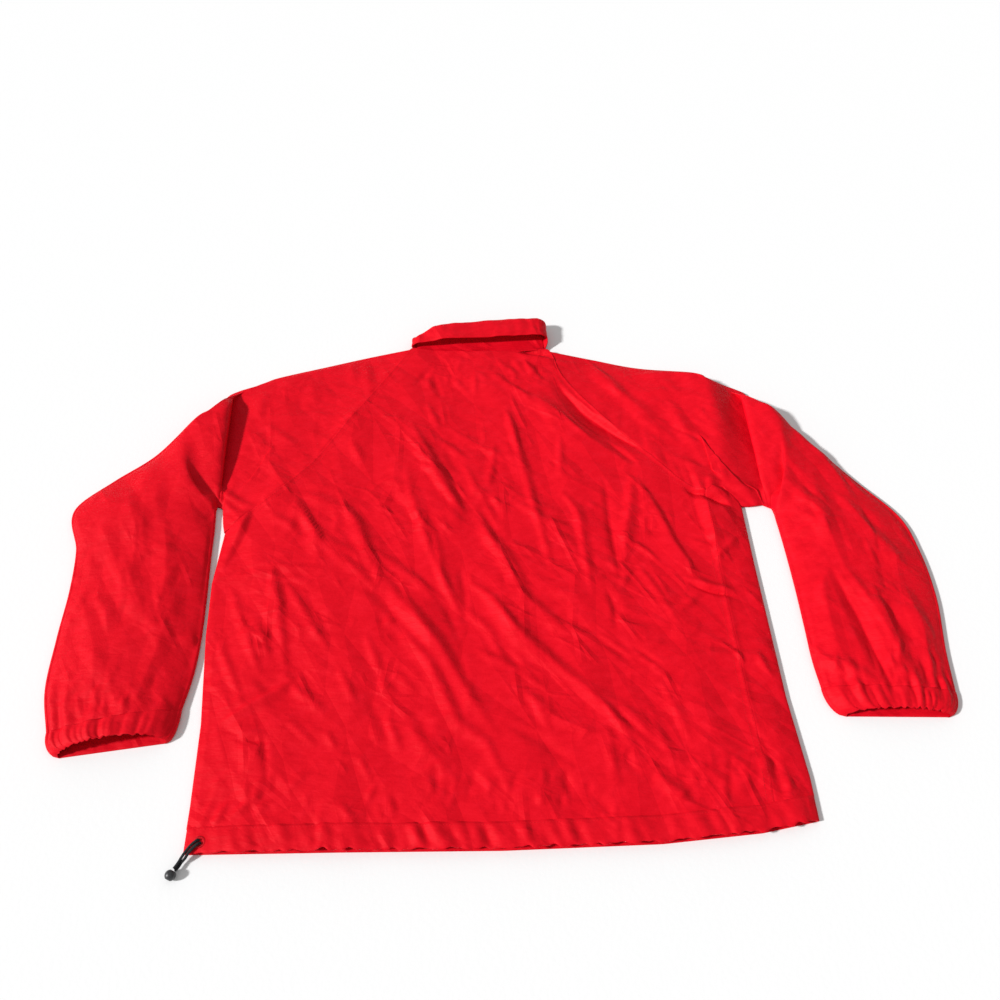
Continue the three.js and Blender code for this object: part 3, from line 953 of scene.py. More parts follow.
def body_creases() -> list[Crease]:
    """The folds of the back: the large ones placed one by one, and the small ones scattered."""
    large = [
        # From the left raglan down across the middle.
        Crease(((-137, 347), (-109, 297), (-63, 237), (-23, 160), (5, 116)), 6.5, 20, 26, 0.35),
        Crease(
            ((-142, 298), (-71, 210), (-40, 135), (-10, 112), (8, 70), (23, 52)), 4.2, 16, 20, 0.45
        ),
        Crease(((-10, 303), (39, 235), (105, 167), (148, 116), (184, 79)), 6.0, 18, 28, 0.3),
        Crease(((16, 346), (45, 288), (85, 247), (146, 226)), 5.0, 14, 24, 0.4),
        Crease(((-96, 571), (-62, 492), (-24, 410)), 6.5, 15, 22, 0.6),
        Crease(((-98, 503), (-68, 484), (-24, 410)), 4.5, 12, 12, 0.5),
        Crease(((-102, 490), (-90, 433), (-47, 292)), 5.0, 26, 14, 0.4),
        Crease(((-245, 455), (-204, 382), (-144, 352)), 5.5, 14, 18, 0.5),
        Crease(((-204, 379), (-165, 343), (-125, 304)), 5.0, 12, 18, 0.4),
        Crease(((-185, 458), (-157, 397), (-120, 296)), 4.5, 14, 20, 0.4),
        Crease(((-142, 371), (-58, 293), (-41, 273)), 4.5, 12, 18, 0.5),
        Crease(((-65, 540), (-40, 522), (-15, 495)), 3.0, 9, 11, 0.5),
        Crease(((-75, 605), (-55, 555)), 3.5, 12, 14, 0.6),
        Crease(((-275, 430), (-230, 395)), 4.0, 12, 14, 0.5),
        Crease(((-300, 360), (-245, 345), (-190, 340)), 3.5, 9, 14, 0.5),
        Crease(((-140, 475), (-115, 468), (-90, 450)), 3.0, 8, 10, 0.5),
        Crease(((-175, 540), (-155, 500)), 3.5, 12, 12, 0.5),
        Crease(((-15, 420), (10, 360), (35, 310)), 4.0, 12, 18, 0.5),
        Crease(((35, 595), (45, 534), (59, 444), (78, 328), (87, 312)), 4.6, 16, 12, 0.45),
        Crease(((35, 584), (50, 505)), 3.5, 10, 12, 0.5),
        Crease(((15, 658), (116, 547)), 4.0, 11, 16, 0.5),
        Crease(((25, 640), (80, 600), (150, 520)), 3.2, 9, 13, 0.5),
        Crease(((-6, 409), (30, 336), (51, 290)), 4.6, 14, 18, 0.4),
        Crease(((95, 448), (117, 410), (123, 284)), 4.2, 18, 12, 0.4),
        Crease(((105, 535), (100, 465)), 3.0, 12, 12, 0.5),
        # Two valleys that meet below the right shoulder, with a sharp ridge between them.
        Crease(((156, 460), (156, 395), (160, 306)), -4.2, 24, 12, 0.5, 1.3),
        Crease(((193, 465), (177, 387), (161, 317)), 5.5, 20, 14, 0.4),
        Crease(((196, 465), (218, 405), (230, 359), (258, 301)), 4.8, 12, 30, 0.5),
        Crease(((140, 300), (148, 270), (145, 240)), -4.0, 22, 10, 0.5, 1.3),
        Crease(((155, 290), (175, 330)), 2.8, 9, 9, 0.5),
        Crease(((185, 360), (210, 330)), 2.6, 8, 9, 0.5),
        # The right side by the side seam.
        Crease(((320, 370), (295, 348), (270, 325)), 3.4, 10, 10, 0.5),
        Crease(((233, 309), (262, 296), (300, 284)), 4.5, 12, 10, 0.5),
        Crease(((240, 299), (268, 287), (300, 278)), -4.5, 8, 9, 0.45),
        Crease(((205, 255), (232, 268), (255, 290)), 3.4, 12, 10, 0.5),
        Crease(((147, 187), (202, 198), (254, 205), (305, 202), (318, 166)), 4.6, 14, 26, 0.55),
        Crease(((190, 170), (210, 100)), 3.4, 18, 12, 0.4),
        Crease(((245, 45), (270, 66), (300, 78)), 4.2, 22, 20, 0.5),
        Crease(((310, 130), (325, 140)), -3.0, 6, 6, 0.6),
        Crease(((30, 175), (70, 135), (115, 115)), 3.4, 12, 16, 0.4),
        Crease(((120, 155), (155, 85)), 3.6, 14, 12, 0.5),
        Crease(((-20, 225), (30, 195)), 3.0, 8, 12, 0.5),
        Crease(((-25, 315), (5, 290), (35, 240)), 4.0, 12, 14, 0.5),
        # The left side and the lower left.
        Crease(((-260, 350), (-245, 270), (-230, 196)), 4.4, 14, 20, 0.4),
        Crease(((-245, 329), (-182, 223)), 4.2, 16, 12, 0.45),
        Crease(((-310, 325), (-285, 262), (-260, 200)), 4.2, 14, 14, 0.5),
        Crease(((-330, 280), (-275, 165)), 3.6, 12, 12, 0.5),
        Crease(((-301, 147), (-262, 170), (-226, 190)), 4.4, 12, 22, 0.8, 1.3),
        Crease(((-226, 190), (-205, 172), (-183, 152)), 4.4, 14, 14, 0.3, 1.3),
        Crease(((-300, 145), (-270, 125), (-250, 125), (-240, 75)), -3.6, 12, 9, 0.5),
        Crease(((-230, 150), (-190, 115)), 3.0, 9, 10, 0.5),
        Crease(((-175, 105), (-145, 100), (-130, 70)), 2.8, 8, 9, 0.5),
        Crease(((-185, 135), (-170, 110)), 2.5, 8, 8, 0.5),
        Crease(((-145, 250), (-120, 185)), 3.4, 12, 12, 0.5),
        Crease(((-175, 210), (-150, 160)), 3.2, 10, 12, 0.5),
        Crease(((-65, 350), (-35, 270)), 3.4, 12, 12, 0.5),
        Crease(((-120, 150), (-100, 105)), 3.0, 10, 12, 0.5),
        Crease(((-90, 80), (-50, 92), (-10, 100)), 2.8, 10, 12, 0.5),
    ]
    small = scattered(21, 66, (-315, 40, 300, 640), -58, 16, (40, 130), (1.0, 2.8), (4, 14))
    small += scattered(22, 70, (-315, 40, 300, 600), -28, 30, (15, 60), (0.8, 2.4), (4, 12))
    small += scattered(23, 60, (-315, 30, 320, 60), 82, 22, (14, 45), (0.7, 1.8), (4, 8))
    firm = scaled(large, 0.8, 0.58, 0.62)
    return firm + small + seam_creases() + neck_creases()


def seam_creases() -> list[Crease]:
    """The folds that the seams draw into the back, and the seams' own bulk."""
    folds = [
        # The trough beside the right raglan seam, and the swell before it.
        Crease(((100, 640), (146, 572), (190, 528), (222, 498)), -9.0, 8, 24, 0.5, 1.0),
        Crease(((76, 618), (122, 552), (164, 508), (196, 480)), 5.5, 16, 36, 0.5, 1.0),
        # The side seam's fold on the right, and the small pocket under the right arm.
        Crease(((277, 452), (280, 410), (283, 360), (285, 322)), 9.5, 46, 14, 0.35, 1.05),
        Crease(((256, 441), (282, 430), (314, 412)), -12.0, 6, 17, 0.65, 1.2),
        Crease(((262, 452), (288, 441), (314, 426)), 6.0, 9, 5, 0.6),
        # The hollow under the right end of the collar, and the fold beneath it.
        Crease(((58, 697), (84, 692), (106, 684)), -6.0, 5, 7, 0.6),
        Crease(((52, 690), (84, 683), (114, 672)), 4.0, 5, 9, 0.5),
        # The seams' own bulk.
        Crease(
            ((283, 436), (281.6, 330), (281.7, 260), (282.3, 150), (287, 60), (286, 32)), 1.5, 6, 5,
            0.5
        ),
        Crease(
            ((105, 694), (120, 640), (164, 571), (215, 505), (258, 452), (283, 437)), 2.4, 7, 7, 0.5
        ),
        Crease(((-96, 707), (-130, 653), (-180, 575), (-236, 492), (-318, 412)), 0.8, 7, 7, 0.5),
        # The cloth pulled towards the left underarm.
        Crease(((-296, 436), (-308, 398), (-324, 345)), 6.5, 10, 34, 0.4, 1.1),
    ]
    return scaled(folds, 0.9, 0.85, 0.85)


def neck_creases() -> list[Crease]:
    """The puckers that the collar's seam draws into the back."""
    return scattered(24, 26, (-80, 640, 95, 690), -78, 24, (16, 50), (0.8, 2.0), (4, 8))


# ---- The pieces of cloth ----


@dataclass
class Panels:
    """The back panel, the front panel and the hem casing."""

    form: Form
    finishes: Finishes
    zip_x: float = 5.0
    slit_bottom: float = 436.0
    slit_half: float = 4.0
    back_rows: int = 212
    back_columns: int = 205

    def back(self) -> bpy.types.Object:
        """The back panel, from the left side fold over to the side seam on the right."""
        form = self.form
        at = np.linspace(0, 1, 60)
        left = form.raglan(Side.LEFT, at)[::-1]
        right = form.raglan(Side.RIGHT, at)
        neck_x = np.linspace(-92, 99, 40)
        neck = np.stack([neck_x, form.collar_at(neck_x, 1)], axis=1)
        top = np.concatenate([left, neck, right])
        across = np.linspace(-318, 283, self.back_columns)
        columns = np.concatenate([[-325.5, -325.8, -325.2, -323.6, -321.0], across])
        turned = np.concatenate([[1.4, 2.6, 3.7, 4.5, 4.9], np.full(len(across), np.nan)])
        ends = np.concatenate(
            [[404.0, 404.2, 404.6, 405.8, 408.6], np.interp(across, top[:, 0], top[:, 1])]
        )
        share = np.linspace(0, 1, self.back_rows)[:, None]
        y = form.hem_seam(columns) * (1 - share) + ends * share
        x = form.body_x(np.broadcast_to(columns, y.shape), y)
        z = form.back_height(x, y)
        z = np.where(np.isnan(turned), z, turned)
        points = np.stack([x, y, z], axis=2)
        piece = surface("back_cloth", points, self.finishes.nylon, (0.61, 0.68))
        return declare(piece, Slot.NYLON, "back_panel")

    def front(self) -> bpy.types.Object:
        """The front panel, slit for the zip and wrapped over the right side fold to its seam."""
        form = self.form
        flat = form.cloth / 2
        at = np.linspace(0, 1, 50)
        left = spline(form.front_raglan[Side.LEFT], at)[::-1]
        right = spline(form.front_raglan[Side.RIGHT], at)
        neck = np.array(form.front_neck)[1:-1] - (0, form.seam)
        top = np.concatenate([[[form.left + 0.5, 403.0]], left, neck, right])
        lower_edge = self.zip_x - self.slit_half, self.zip_x + self.slit_half
        across = np.concatenate([
            np.linspace(form.left + 0.5, lower_edge[0], 66),
            [self.zip_x],
            np.linspace(lower_edge[1], 322, 64),
        ])
        ends = np.interp(across, top[:, 0], top[:, 1])
        heights = np.full(len(across), flat)
        radius = (form.side_loft - flat) / 2
        turns = np.radians(np.linspace(-70, 70, 7))
        columns = np.concatenate([across, form.right - radius - 0.6 + radius * np.cos(turns)])
        ends = np.concatenate([ends, 412 + np.degrees(turns) / 25])
        heights = np.concatenate([heights, flat + radius + radius * np.sin(turns)])
        over = np.linspace(318, 283.1, 13)
        wrap = np.array(form.wrap_top)[::-1]
        columns = np.concatenate([columns, [323.5], over])
        ends = np.concatenate([ends, [420.0], np.interp(over, wrap[:, 0], wrap[:, 1])])
        heights = np.concatenate([heights, np.full(len(over) + 1, np.nan)])
        zip_end = (
            (self.slit_bottom - form.hem_seam(self.zip_x))
            / (628 - form.seam - form.hem_seam(self.zip_x))
        )
        share = np.concatenate(
            [np.linspace(0, zip_end, 96), np.linspace(zip_end, 1, 46)[1:]]
        )[:, None]
        y = form.hem_seam(columns) * (1 - share) + ends * share
        x = form.body_x(np.broadcast_to(columns, y.shape), y)
        lying = ~np.isnan(heights) & (np.arange(len(columns)) < len(across))
        rucks = np.clip(Ripple(31, 50, 130, 0.8, 0.9).at(x, y), 0, 1) * 0.9
        rucks *= smoothstep(np.abs(x - self.zip_x), 18, 45) * smoothstep(form.right - x, 6, 40)
        rucks *= smoothstep(x - form.left, 6, 40)
        z = np.where(np.isnan(heights), form.back_height(x, y), heights + rucks * lying)
        points = np.stack([x, y, z], axis=2)

        def keep(centre: Array) -> bool:
            """Whether a face lies outside the slit."""
            inside = abs(centre[0] - self.zip_x) < self.slit_half and centre[2] < 2
            return not (inside and centre[1] > self.slit_bottom)

        piece = surface("front_cloth", points, self.finishes.nylon, (0.72, 0.62), keep=keep)
        return declare(piece, Slot.NYLON, "front_panel")

    def casing_height(self, x: Array, share: Array) -> Array:
        """The height of the hem casing's top layer: puffed over its cord and gathered along it.

        Args:
            x: Places across.
            share: Shares of its depth, 0 at the edge and 1 at the stitch line.

        Returns:
            The height of the middle of the wall.
        """
        y = self.form.hem_edge(x) + share * self.form.hem_depth
        plain = self.form.back_height(x, y)
        gathers = (
            Ripple(41, 9, 26, 0.35, 0.25).at(x, y) + 0.6 * Ripple(42, 22, 60, 0.3, 0.3).at(x, y)
        )
        strength = 0.35 + 0.65 * np.clip(Ripple(43, 160, 420, 0.0, 0.1).at(x, y) + 0.2, 0, 1)
        shape = np.sin(math.pi * np.clip(share, 0, 1)) ** 0.7
        calm = smoothstep(np.minimum(x - self.form.left, self.form.right - x), 2, 16)
        return (
            plain + calm * (0.9 * shape + 1.9 * gathers * strength * (0.25 + 0.75 * shape))
            + 0.25 * share
        )

    def casing(self) -> bpy.types.Object:
        """The hem casing, a flattened ring of doubled cloth with the cord run inside it."""
        form = self.form
        low = form.doubled / 2
        top_x = np.linspace(320, -318, 330)
        right = np.array([(324.2, 5.2), (326.0, 4.4), (326.8, 2.9), (326.0, 1.5), (323.0, 0.9)])
        left = np.array([(-321.0, 0.9), (-324.0, 1.5), (-324.8, 2.9), (-324.0, 4.4), (-322.0, 5.2)])
        under_x = np.linspace(320, -318, 160)
        loop_x = np.concatenate([under_x[::-1], right[::-1, 0], top_x, left[::-1, 0], under_x[-1:]])
        loop_z = np.concatenate([
            np.full(len(under_x), low), right[::-1, 1], np.full(len(top_x), np.nan), left[::-1, 1],
            [low],
        ])
        share = np.linspace(0, 1, 10)[:, None]
        x = np.broadcast_to(loop_x, (10, len(loop_x)))
        scallop = 1.3 * Ripple(44, 11, 34, 0.0, 0.2).at(x, x * 0) * (1 - share) ** 2
        y = (
            form.hem_edge(x) + share * (form.hem_depth + 1.2)
            + np.where(np.isnan(loop_z), scallop, 0.0)
        )
        z = np.where(np.isnan(loop_z), self.casing_height(x, share + 0 * x), loop_z)
        points = np.stack([form.body_x(x, y), y, z], axis=2)
        piece = surface(
            "hem_cloth", points, self.finishes.doubled, (1.3, 0.025), closed=True, thickness=1.4
        )
        return declare(piece, Slot.DOUBLED, "hem_casing")


@dataclass(frozen=True)
class Section:
    """A section of a sleeve from its upper to its lower edge, with the heights of its top layer."""

    upper: Place
    lower: Place
    edge: float
    crown: float
    bow: float = 0.0


@dataclass
class Sleeve:
    """A raglan sleeve with the large pleat that turns the arm down, and its cuff."""

    form: Form
    finishes: Finishes
    side: Side
    before: tuple[Section, ...]
    pleat_x: float
    pleat_from: tuple[float, float, float, float]
    pleat_to: tuple[float, float, float, float]
    pleat_path: tuple[Place, ...]
    after: tuple[Section, ...]
    mouth: Section
    mouth_back: float
    creases: list[Crease]
    seed: int
    top_count: int = 118
    under_count: int = 30
    crowding: float = 1.3
    fold_fullness: float = 0.2
    fold_edge: float = 0.95
    fold_foot: float = 0.75
    fold_lean: float = 0.5
    fold_drop: float = 0.72
    past_fold: float = 14.0
    flattened: float = 0.6
    calm: float = 0.6
    tuck: float = 1.0
    turn_shares: tuple[float, ...] = (0.9, 0.7, 0.5, 0.3, 0.1)
    plain_fullness: float = 0.52
    pleat_edge: float = 5.2
    row_gap: float = 3.4
    point_gap: float = 1.35
    edge_share: float = 0.008
    seat_drop: float = 0.5
    sleeve_floor: float = 0.45
    cuff_floor: float = 0.8
    cuff_steps: int = 14
    end: Array = field(init=False, repr=False)

    def ring(self, section: Section, fold_x: float | None = None) -> Array:
        """One ring of the sleeve: the top from the upper to the lower edge, then back beneath.

        Args:
            section: The section.
            fold_x: Where the shoulder pleat's line of this ring lies, or None off the pleat.

        Returns:
            The points, the first one again at the end.
        """
        upper, lower = np.array(section.upper, float), np.array(section.lower, float)
        reach = lower - upper
        outwards = reach / np.hypot(*reach)
        bodyward = np.array([-outwards[1], outwards[0]]) * -np.sign(upper[0])
        share = np.linspace(0, 1, self.top_count) ** self.crowding
        place = (
            upper + reach * share[:, None]
            + bodyward * (section.bow * np.sin(math.pi * share))[:, None]
        )
        plain = fold_x is None
        power = np.where(
            share < 0.5, self.plain_fullness if plain else self.fold_fullness,
            self.plain_fullness if plain else self.fold_foot
        )
        full = np.sin(math.pi * np.clip(share, self.edge_share, 1 - self.edge_share)) ** power
        edge = np.full(self.top_count, section.edge * self.flattened)
        if fold_x is not None:
            edge += (
                (max(section.edge, self.fold_edge * section.crown) - section.edge)
                * (1 - share) ** 2
            )
            pull = smoothstep(full, 0.35, 0.75)
            place[:, 0] = place[:, 0] * (1 - pull) + fold_x * pull
            place[:, 1] -= self.fold_drop * np.maximum(edge - section.edge, 0)
            lean = self.fold_lean * share * smoothstep(section.crown, 9, 16)
        else:
            lean = np.zeros_like(share)
        top = np.column_stack([place, edge + (section.crown * (1 - lean) - edge) * full])
        back = np.linspace(1, 0, self.under_count)
        place = (
            upper + reach * back[:, None]
            + bodyward * (section.bow * np.sin(math.pi * back))[:, None]
        )
        under = np.column_stack([place, np.full(self.under_count, self.form.cloth / 2)])
        return self.closed(top, under, outwards)

    def closed(self, top: Array, under: Array, outwards: Array) -> Array:
        """Joins a top and an underside by a small turn at each edge.

        Args:
            top: The points of the top, from the upper edge.
            under: The points beneath, from the lower edge.
            outwards: The direction in plan from the upper to the lower edge.

        Returns:
            The ring of points, the first one again at the end.
        """
        low = self.form.cloth / 2
        shares = np.array(self.turn_shares)
        bulge = 1.2 + 1.04 * np.sin(math.pi * shares)
        lower = np.column_stack(
            [top[-1, :2] + outwards * bulge[:, None], low + (top[-1, 2] - low) * shares]
        )
        rising = low + (top[0, 2] - low) * shares[::-1]
        upper = np.column_stack([top[0, :2] - outwards * bulge[::-1, None], rising])
        return np.concatenate([top, lower, under, upper, top[:1]])

    def armhole(self) -> Array:
        """The ring at the armhole: the back raglan seam on top and the front one beneath."""
        form, outward = self.form, self.side.outward
        if self.side is Side.LEFT:
            seam = form.raglan(self.side, np.linspace(0, 1, self.top_count))
        else:
            sewn = form.raglan(self.side, np.linspace(0, 1, 10))
            wrap = np.array([form.wrap_top[1], form.wrap_top[0]])
            points = np.concatenate([sewn, wrap])
            step = np.linspace(0, len(points) - 1, self.top_count)
            smooth = form.raglan(self.side, np.clip(step / 9, 0, 1))
            beyond = np.stack(
                [np.interp(step, range(len(points)), points[:, k]) for k in (0, 1)], axis=1
            )
            seam = np.where(step[:, None] <= 9, smooth, beyond)
        top = np.column_stack([seam, form.back_height(seam[:, 0], seam[:, 1])])
        top[:, :2] -= (outward * self.tuck, self.tuck)
        top[:, 2] -= self.seat_drop
        front = spline(form.front_raglan[self.side], np.linspace(1, 0, self.under_count))
        under = np.column_stack(
            [front + (outward * form.seam, form.seam), np.full(self.under_count, form.cloth / 2)]
        )
        ring = self.closed(top, under, np.array([outward * 0.6, -0.8]))
        fold = (form.left - 0.3, 404.5) if self.side is Side.LEFT else (form.right - 0.7, 414.5)
        for k, share in enumerate(self.turn_shares):
            swell = outward * 0.8 * math.sin(math.pi * share)
            ring[self.top_count + k] = (fold[0] + swell, fold[1], 0.8 + 3.8 * share)
        return ring

    def rings(self) -> tuple[Array, Array]:
        """The sleeve as rings from armhole to cuff, and each ring's place among its sections."""
        sections = [self.armhole(), *(self.ring(section) for section in self.before)]
        count = len(self.pleat_path)
        for k, (out, z) in enumerate(self.pleat_path):
            share = k / (count - 1)
            ux, uy, lx, ly = (
                np.array(self.pleat_from) * (1 - share) + np.array(self.pleat_to) * share
            )
            uy -= self.past_fold * float(smoothstep(np.array(share), 0.7, 1.0))
            section = Section((ux, uy), (lx, ly), self.pleat_edge, z)
            sections.append(self.ring(section, self.pleat_x + self.side.outward * out))
        sections += [self.ring(section) for section in self.after]
        return smooth_rows(np.array(sections), self.row_gap)

    def sleeve(self) -> bpy.types.Object:
        """The sleeve's cloth with its creases."""
        points, index = self.rings()
        count = len(self.pleat_path)
        start = 1 + len(self.before)
        open_rows = (
            1 - smoothstep(index, start + 0.2, start + 1.5)
            * (1 - smoothstep(index, start + count - 3.5, start + count - 1.5))
        )
        column = np.arange(points.shape[1])
        on_top = (
            smoothstep(column, 0, 7)
            * (1 - smoothstep(column, self.top_count - 4, self.top_count - 1))
        )
        on_top = np.where(column < self.top_count, on_top, 0.0)
        pit = smoothstep(column, self.top_count - 24, self.top_count - 12)
        weight = np.maximum(open_rows[:, None], pit[None, :]) * on_top[None, :]
        weight = weight * smoothstep(index, 0.0, 0.12)[:, None]
        x, y = points[..., 0], points[..., 1]
        last = index[-1]
        long = (
            Ripple(self.seed + 1, 90, 200).at(x, y) * 1.2
            + Ripple(self.seed + 2, 35, 80).at(x, y) * 0.35
        )
        rise = lifted(self.creases, x, y) * self.calm + long
        gathered = smoothstep(index, last - 1.6, last)[:, None]
        around = column[None, :] * self.point_gap
        rise = (
            rise + gathered
            * Ripple(self.seed + 3, 11, 34, 0.0, 0.12).at(around, index[:, None] * 5.0)
        )
        seated = (1 - smoothstep(index, 0.0, 0.6))[:, None] * 0.5
        rise = (
            rise + seated * Ripple(self.seed + 4, 9, 22, 0.0, 0.1).at(around, index[:, None] * 4.0)
        )
        normal = normals_of(points, closed=True)
        middle = normal[len(points) // 2, self.top_count // 2, 2]
        normal = normal * (1 if middle > 0 else -1)
        points = points + normal * (rise * weight)[..., None]
        beneath = (column >= self.top_count + 5) & (column < self.top_count + 5 + self.under_count)
        rucks = (
            np.clip(Ripple(self.seed + 5, 40, 110).at(x, y), 0, 1) * 1.6
            * smoothstep(index, 0.3, 1.2)[:, None]
        )
        inner = (
            smoothstep(column - self.top_count - 5, 1, 8) * (
                1 - smoothstep(
                    column - self.top_count - 5, self.under_count - 9, self.under_count - 2
                )
            )
        )
        points[..., 2] += rucks * inner * beneath
        points[..., 2] = np.maximum(points[..., 2], self.sleeve_floor)
        points[:, -1] = points[:, 0]
        self.end = points[-1]
        name = f"sleeve_{self.side.value}"
        piece = surface(f"{name}_cloth", points, self.finishes.arm, (0.6, 0.75), closed=True)
        return declare(piece, Slot.NYLON, name)

    def cuff(self) -> bpy.types.Object:
        """The cuff, a gathered casing from the end of the sleeve to its open mouth."""
        seam, mouth = self.end, self.ring(self.mouth)
        share = np.linspace(0, 1, self.cuff_steps)[:, None, None]
        round_off = 1 - np.sqrt(np.clip(1 - share**2, 0, 1))
        points = seam + (mouth - seam) * np.concatenate([round_off, share, share], axis=2)
        share = share[..., 0]
        high = mouth[:, 2][None, :]
        points[..., 1] += share * np.clip((high - 1) / self.mouth.crown, 0, 1) * self.mouth_back
        column = np.arange(points.shape[1])[None, :]
        top = (column < self.top_count).astype(float)
        around = column * self.point_gap
        gathers = Ripple(self.seed + 3, 11, 34, 0.0, 0.12).at(around, share * 8.0)
        fine = Ripple(self.seed + 6, 6, 15, 0.0, 0.25).at(around, share * 7.0)
        uneven = 0.45 + 0.55 * np.clip(Ripple(self.seed + 7, 40, 90).at(around, share * 0), 0, 1)
        fade = (
            smoothstep(column, 0, 6)
            * (1 - smoothstep(column, self.top_count - 7, self.top_count - 1))
        )
        grown = smoothstep(share, 0.0, 0.35)
        sewn = np.exp(-(((share - 0.3) / 0.12) ** 2))
        points[..., 2] += (
            top * fade
            * (gathers * 0.8 + grown * uneven * 0.9 * fine + 1.4 * grown - 1.2 * sewn * uneven)
        )
        points[..., 1] += top * fade * 1.8 * share * fine * uneven
        points[..., 2] = np.maximum(points[..., 2], self.cuff_floor)
        points[:, -1] = points[:, 0]
        name = f"cuff_{self.side.value}"
        piece = surface(
            f"{name}_cloth", points, self.finishes.doubled, (0.32, 0.024), closed=True,
            thickness=1.3
        )
        return declare(piece, Slot.DOUBLED, name)


def left_sleeve(form: Form, finishes: Finishes) -> Sleeve:
    """The left sleeve, its shoulder pleat raised over the body.

    Args:
        form: The garment's form.
        finishes: Its materials.

    Returns:
        The sleeve.
    """
    creases = [
        # Finger-like pleats at the underarm.
        Crease(((-348, 476), (-318, 452), (-286, 431)), 8.0, 8, 9, 0.35),
        Crease(((-344, 461), (-322, 439), (-302, 421)), 7.0, 7, 7, 0.4),
        Crease(((-348, 449), (-330, 427), (-312, 410)), 6.0, 7, 8, 0.45),
        # Across the shoulder, towards the neck.
        Crease(((-308, 567), (-280, 510), (-251, 458)), 5.0, 18, 12, 0.5),
        Crease(((-296, 580), (-236, 525)), 4.0, 10, 14, 0.5),
        Crease(((-300, 585), (-240, 590), (-185, 585)), 3.4, 10, 12, 0.5),
        Crease(((-300, 640), (-300, 585)), 4.5, 8, 26, 0.5),
        Crease(((-160, 690), (-150, 625)), 4.5, 9, 16, 0.4),
        Crease(((-178, 690), (-172, 640)), 3.5, 9, 14, 0.4),
        Crease(((-235, 660), (-225, 605)), 3.6, 10, 12, 0.5),
        Crease(((-170, 595), (-195, 548), (-225, 495)), 3.6, 12, 12, 0.5),
        # The dark wedge beside the fold, and the arm.
        Crease(((-395, 555), (-374, 520), (-350, 455)), -3.6, 22, 12, 0.5),
        Crease(((-440, 520), (-418, 470), (-405, 410)), 4.5, 16, 20, 0.4),
        Crease(((-480, 420), (-440, 340), (-400, 270)), 5.0, 16, 22, 0.4),
        Crease(((-455, 470), (-430, 400), (-425, 320)), 4.5, 14, 20, 0.5),
        Crease(((-400, 420), (-385, 340), (-390, 260)), 4.5, 14, 18, 0.5),
        Crease(((-490, 330), (-450, 240), (-440, 170)), 4.5, 16, 18, 0.6),
        Crease(((-478, 296), (-462, 308), (-448, 292), (-438, 258)), 4.5, 12, 8, 0.5),
        Crease(((-362, 246), (-346, 251), (-334, 248)), 3.5, 7, 9, 0.5),
        Crease(((-442, 368), (-410, 300), (-380, 250)), 4.5, 14, 18, 0.5),
        Crease(((-370, 330), (-380, 240), (-395, 170)), 4.0, 14, 14, 0.5),
        Crease(((-350, 270), (-372, 262), (-400, 275)), 3.5, 9, 12, 0.4),
        Crease(((-470, 250), (-430, 215), (-410, 160)), 3.5, 12, 16, 0.5),
    ]
    creases += scattered(51, 44, (-500, 150, -345, 560), -66, 20, (25, 100), (0.9, 2.4), (5, 18))
    creases += scattered(52, 34, (-330, 470, -120, 690), -52, 26, (20, 70), (0.8, 2.4), (4, 12))
    creases += scattered(53, 26, (-490, 140, -345, 175), 88, 16, (18, 46), (0.8, 2.0), (4, 8))
    return Sleeve(
        form, finishes, Side.LEFT,
        before=(
            Section((-155, 698), (-329, 420), 5, 9.5, 14),
            Section((-212, 683), (-331, 434), 5, 9, 6)
        ),
        pleat_x=-338, pleat_from=(-284, 661, -333, 444), pleat_to=(-376, 611, -341, 448),
        pleat_path=(
            (-50, 7.5), (-22, 5.6), (-3, 4.3), (9, 3.7), (12.5, 4.9), (10.5, 6.3), (4, 9.5),
            (0.5, 16), (0.6, 22),
            (5, 26), (16, 27), (36, 26.5),
        ),
        after=(
            Section((-431, 527), (-343, 440), 8, 23), Section((-478, 489), (-343, 428), 6, 19),
            Section((-517, 450), (-342, 410), 6, 19), Section((-504, 385), (-341, 366), 6, 18),
            Section((-500, 330), (-339, 312), 6, 17), Section((-501, 262), (-338, 252), 6, 17),
            Section((-499, 195), (-341, 206), 6, 19), Section((-486, 147), (-348, 166), 7, 21),
        ),
        mouth=Section((-468, 120), (-359, 131), 9, 22), mouth_back=8, creases=creases, seed=500,
        calm=0.5,
    )


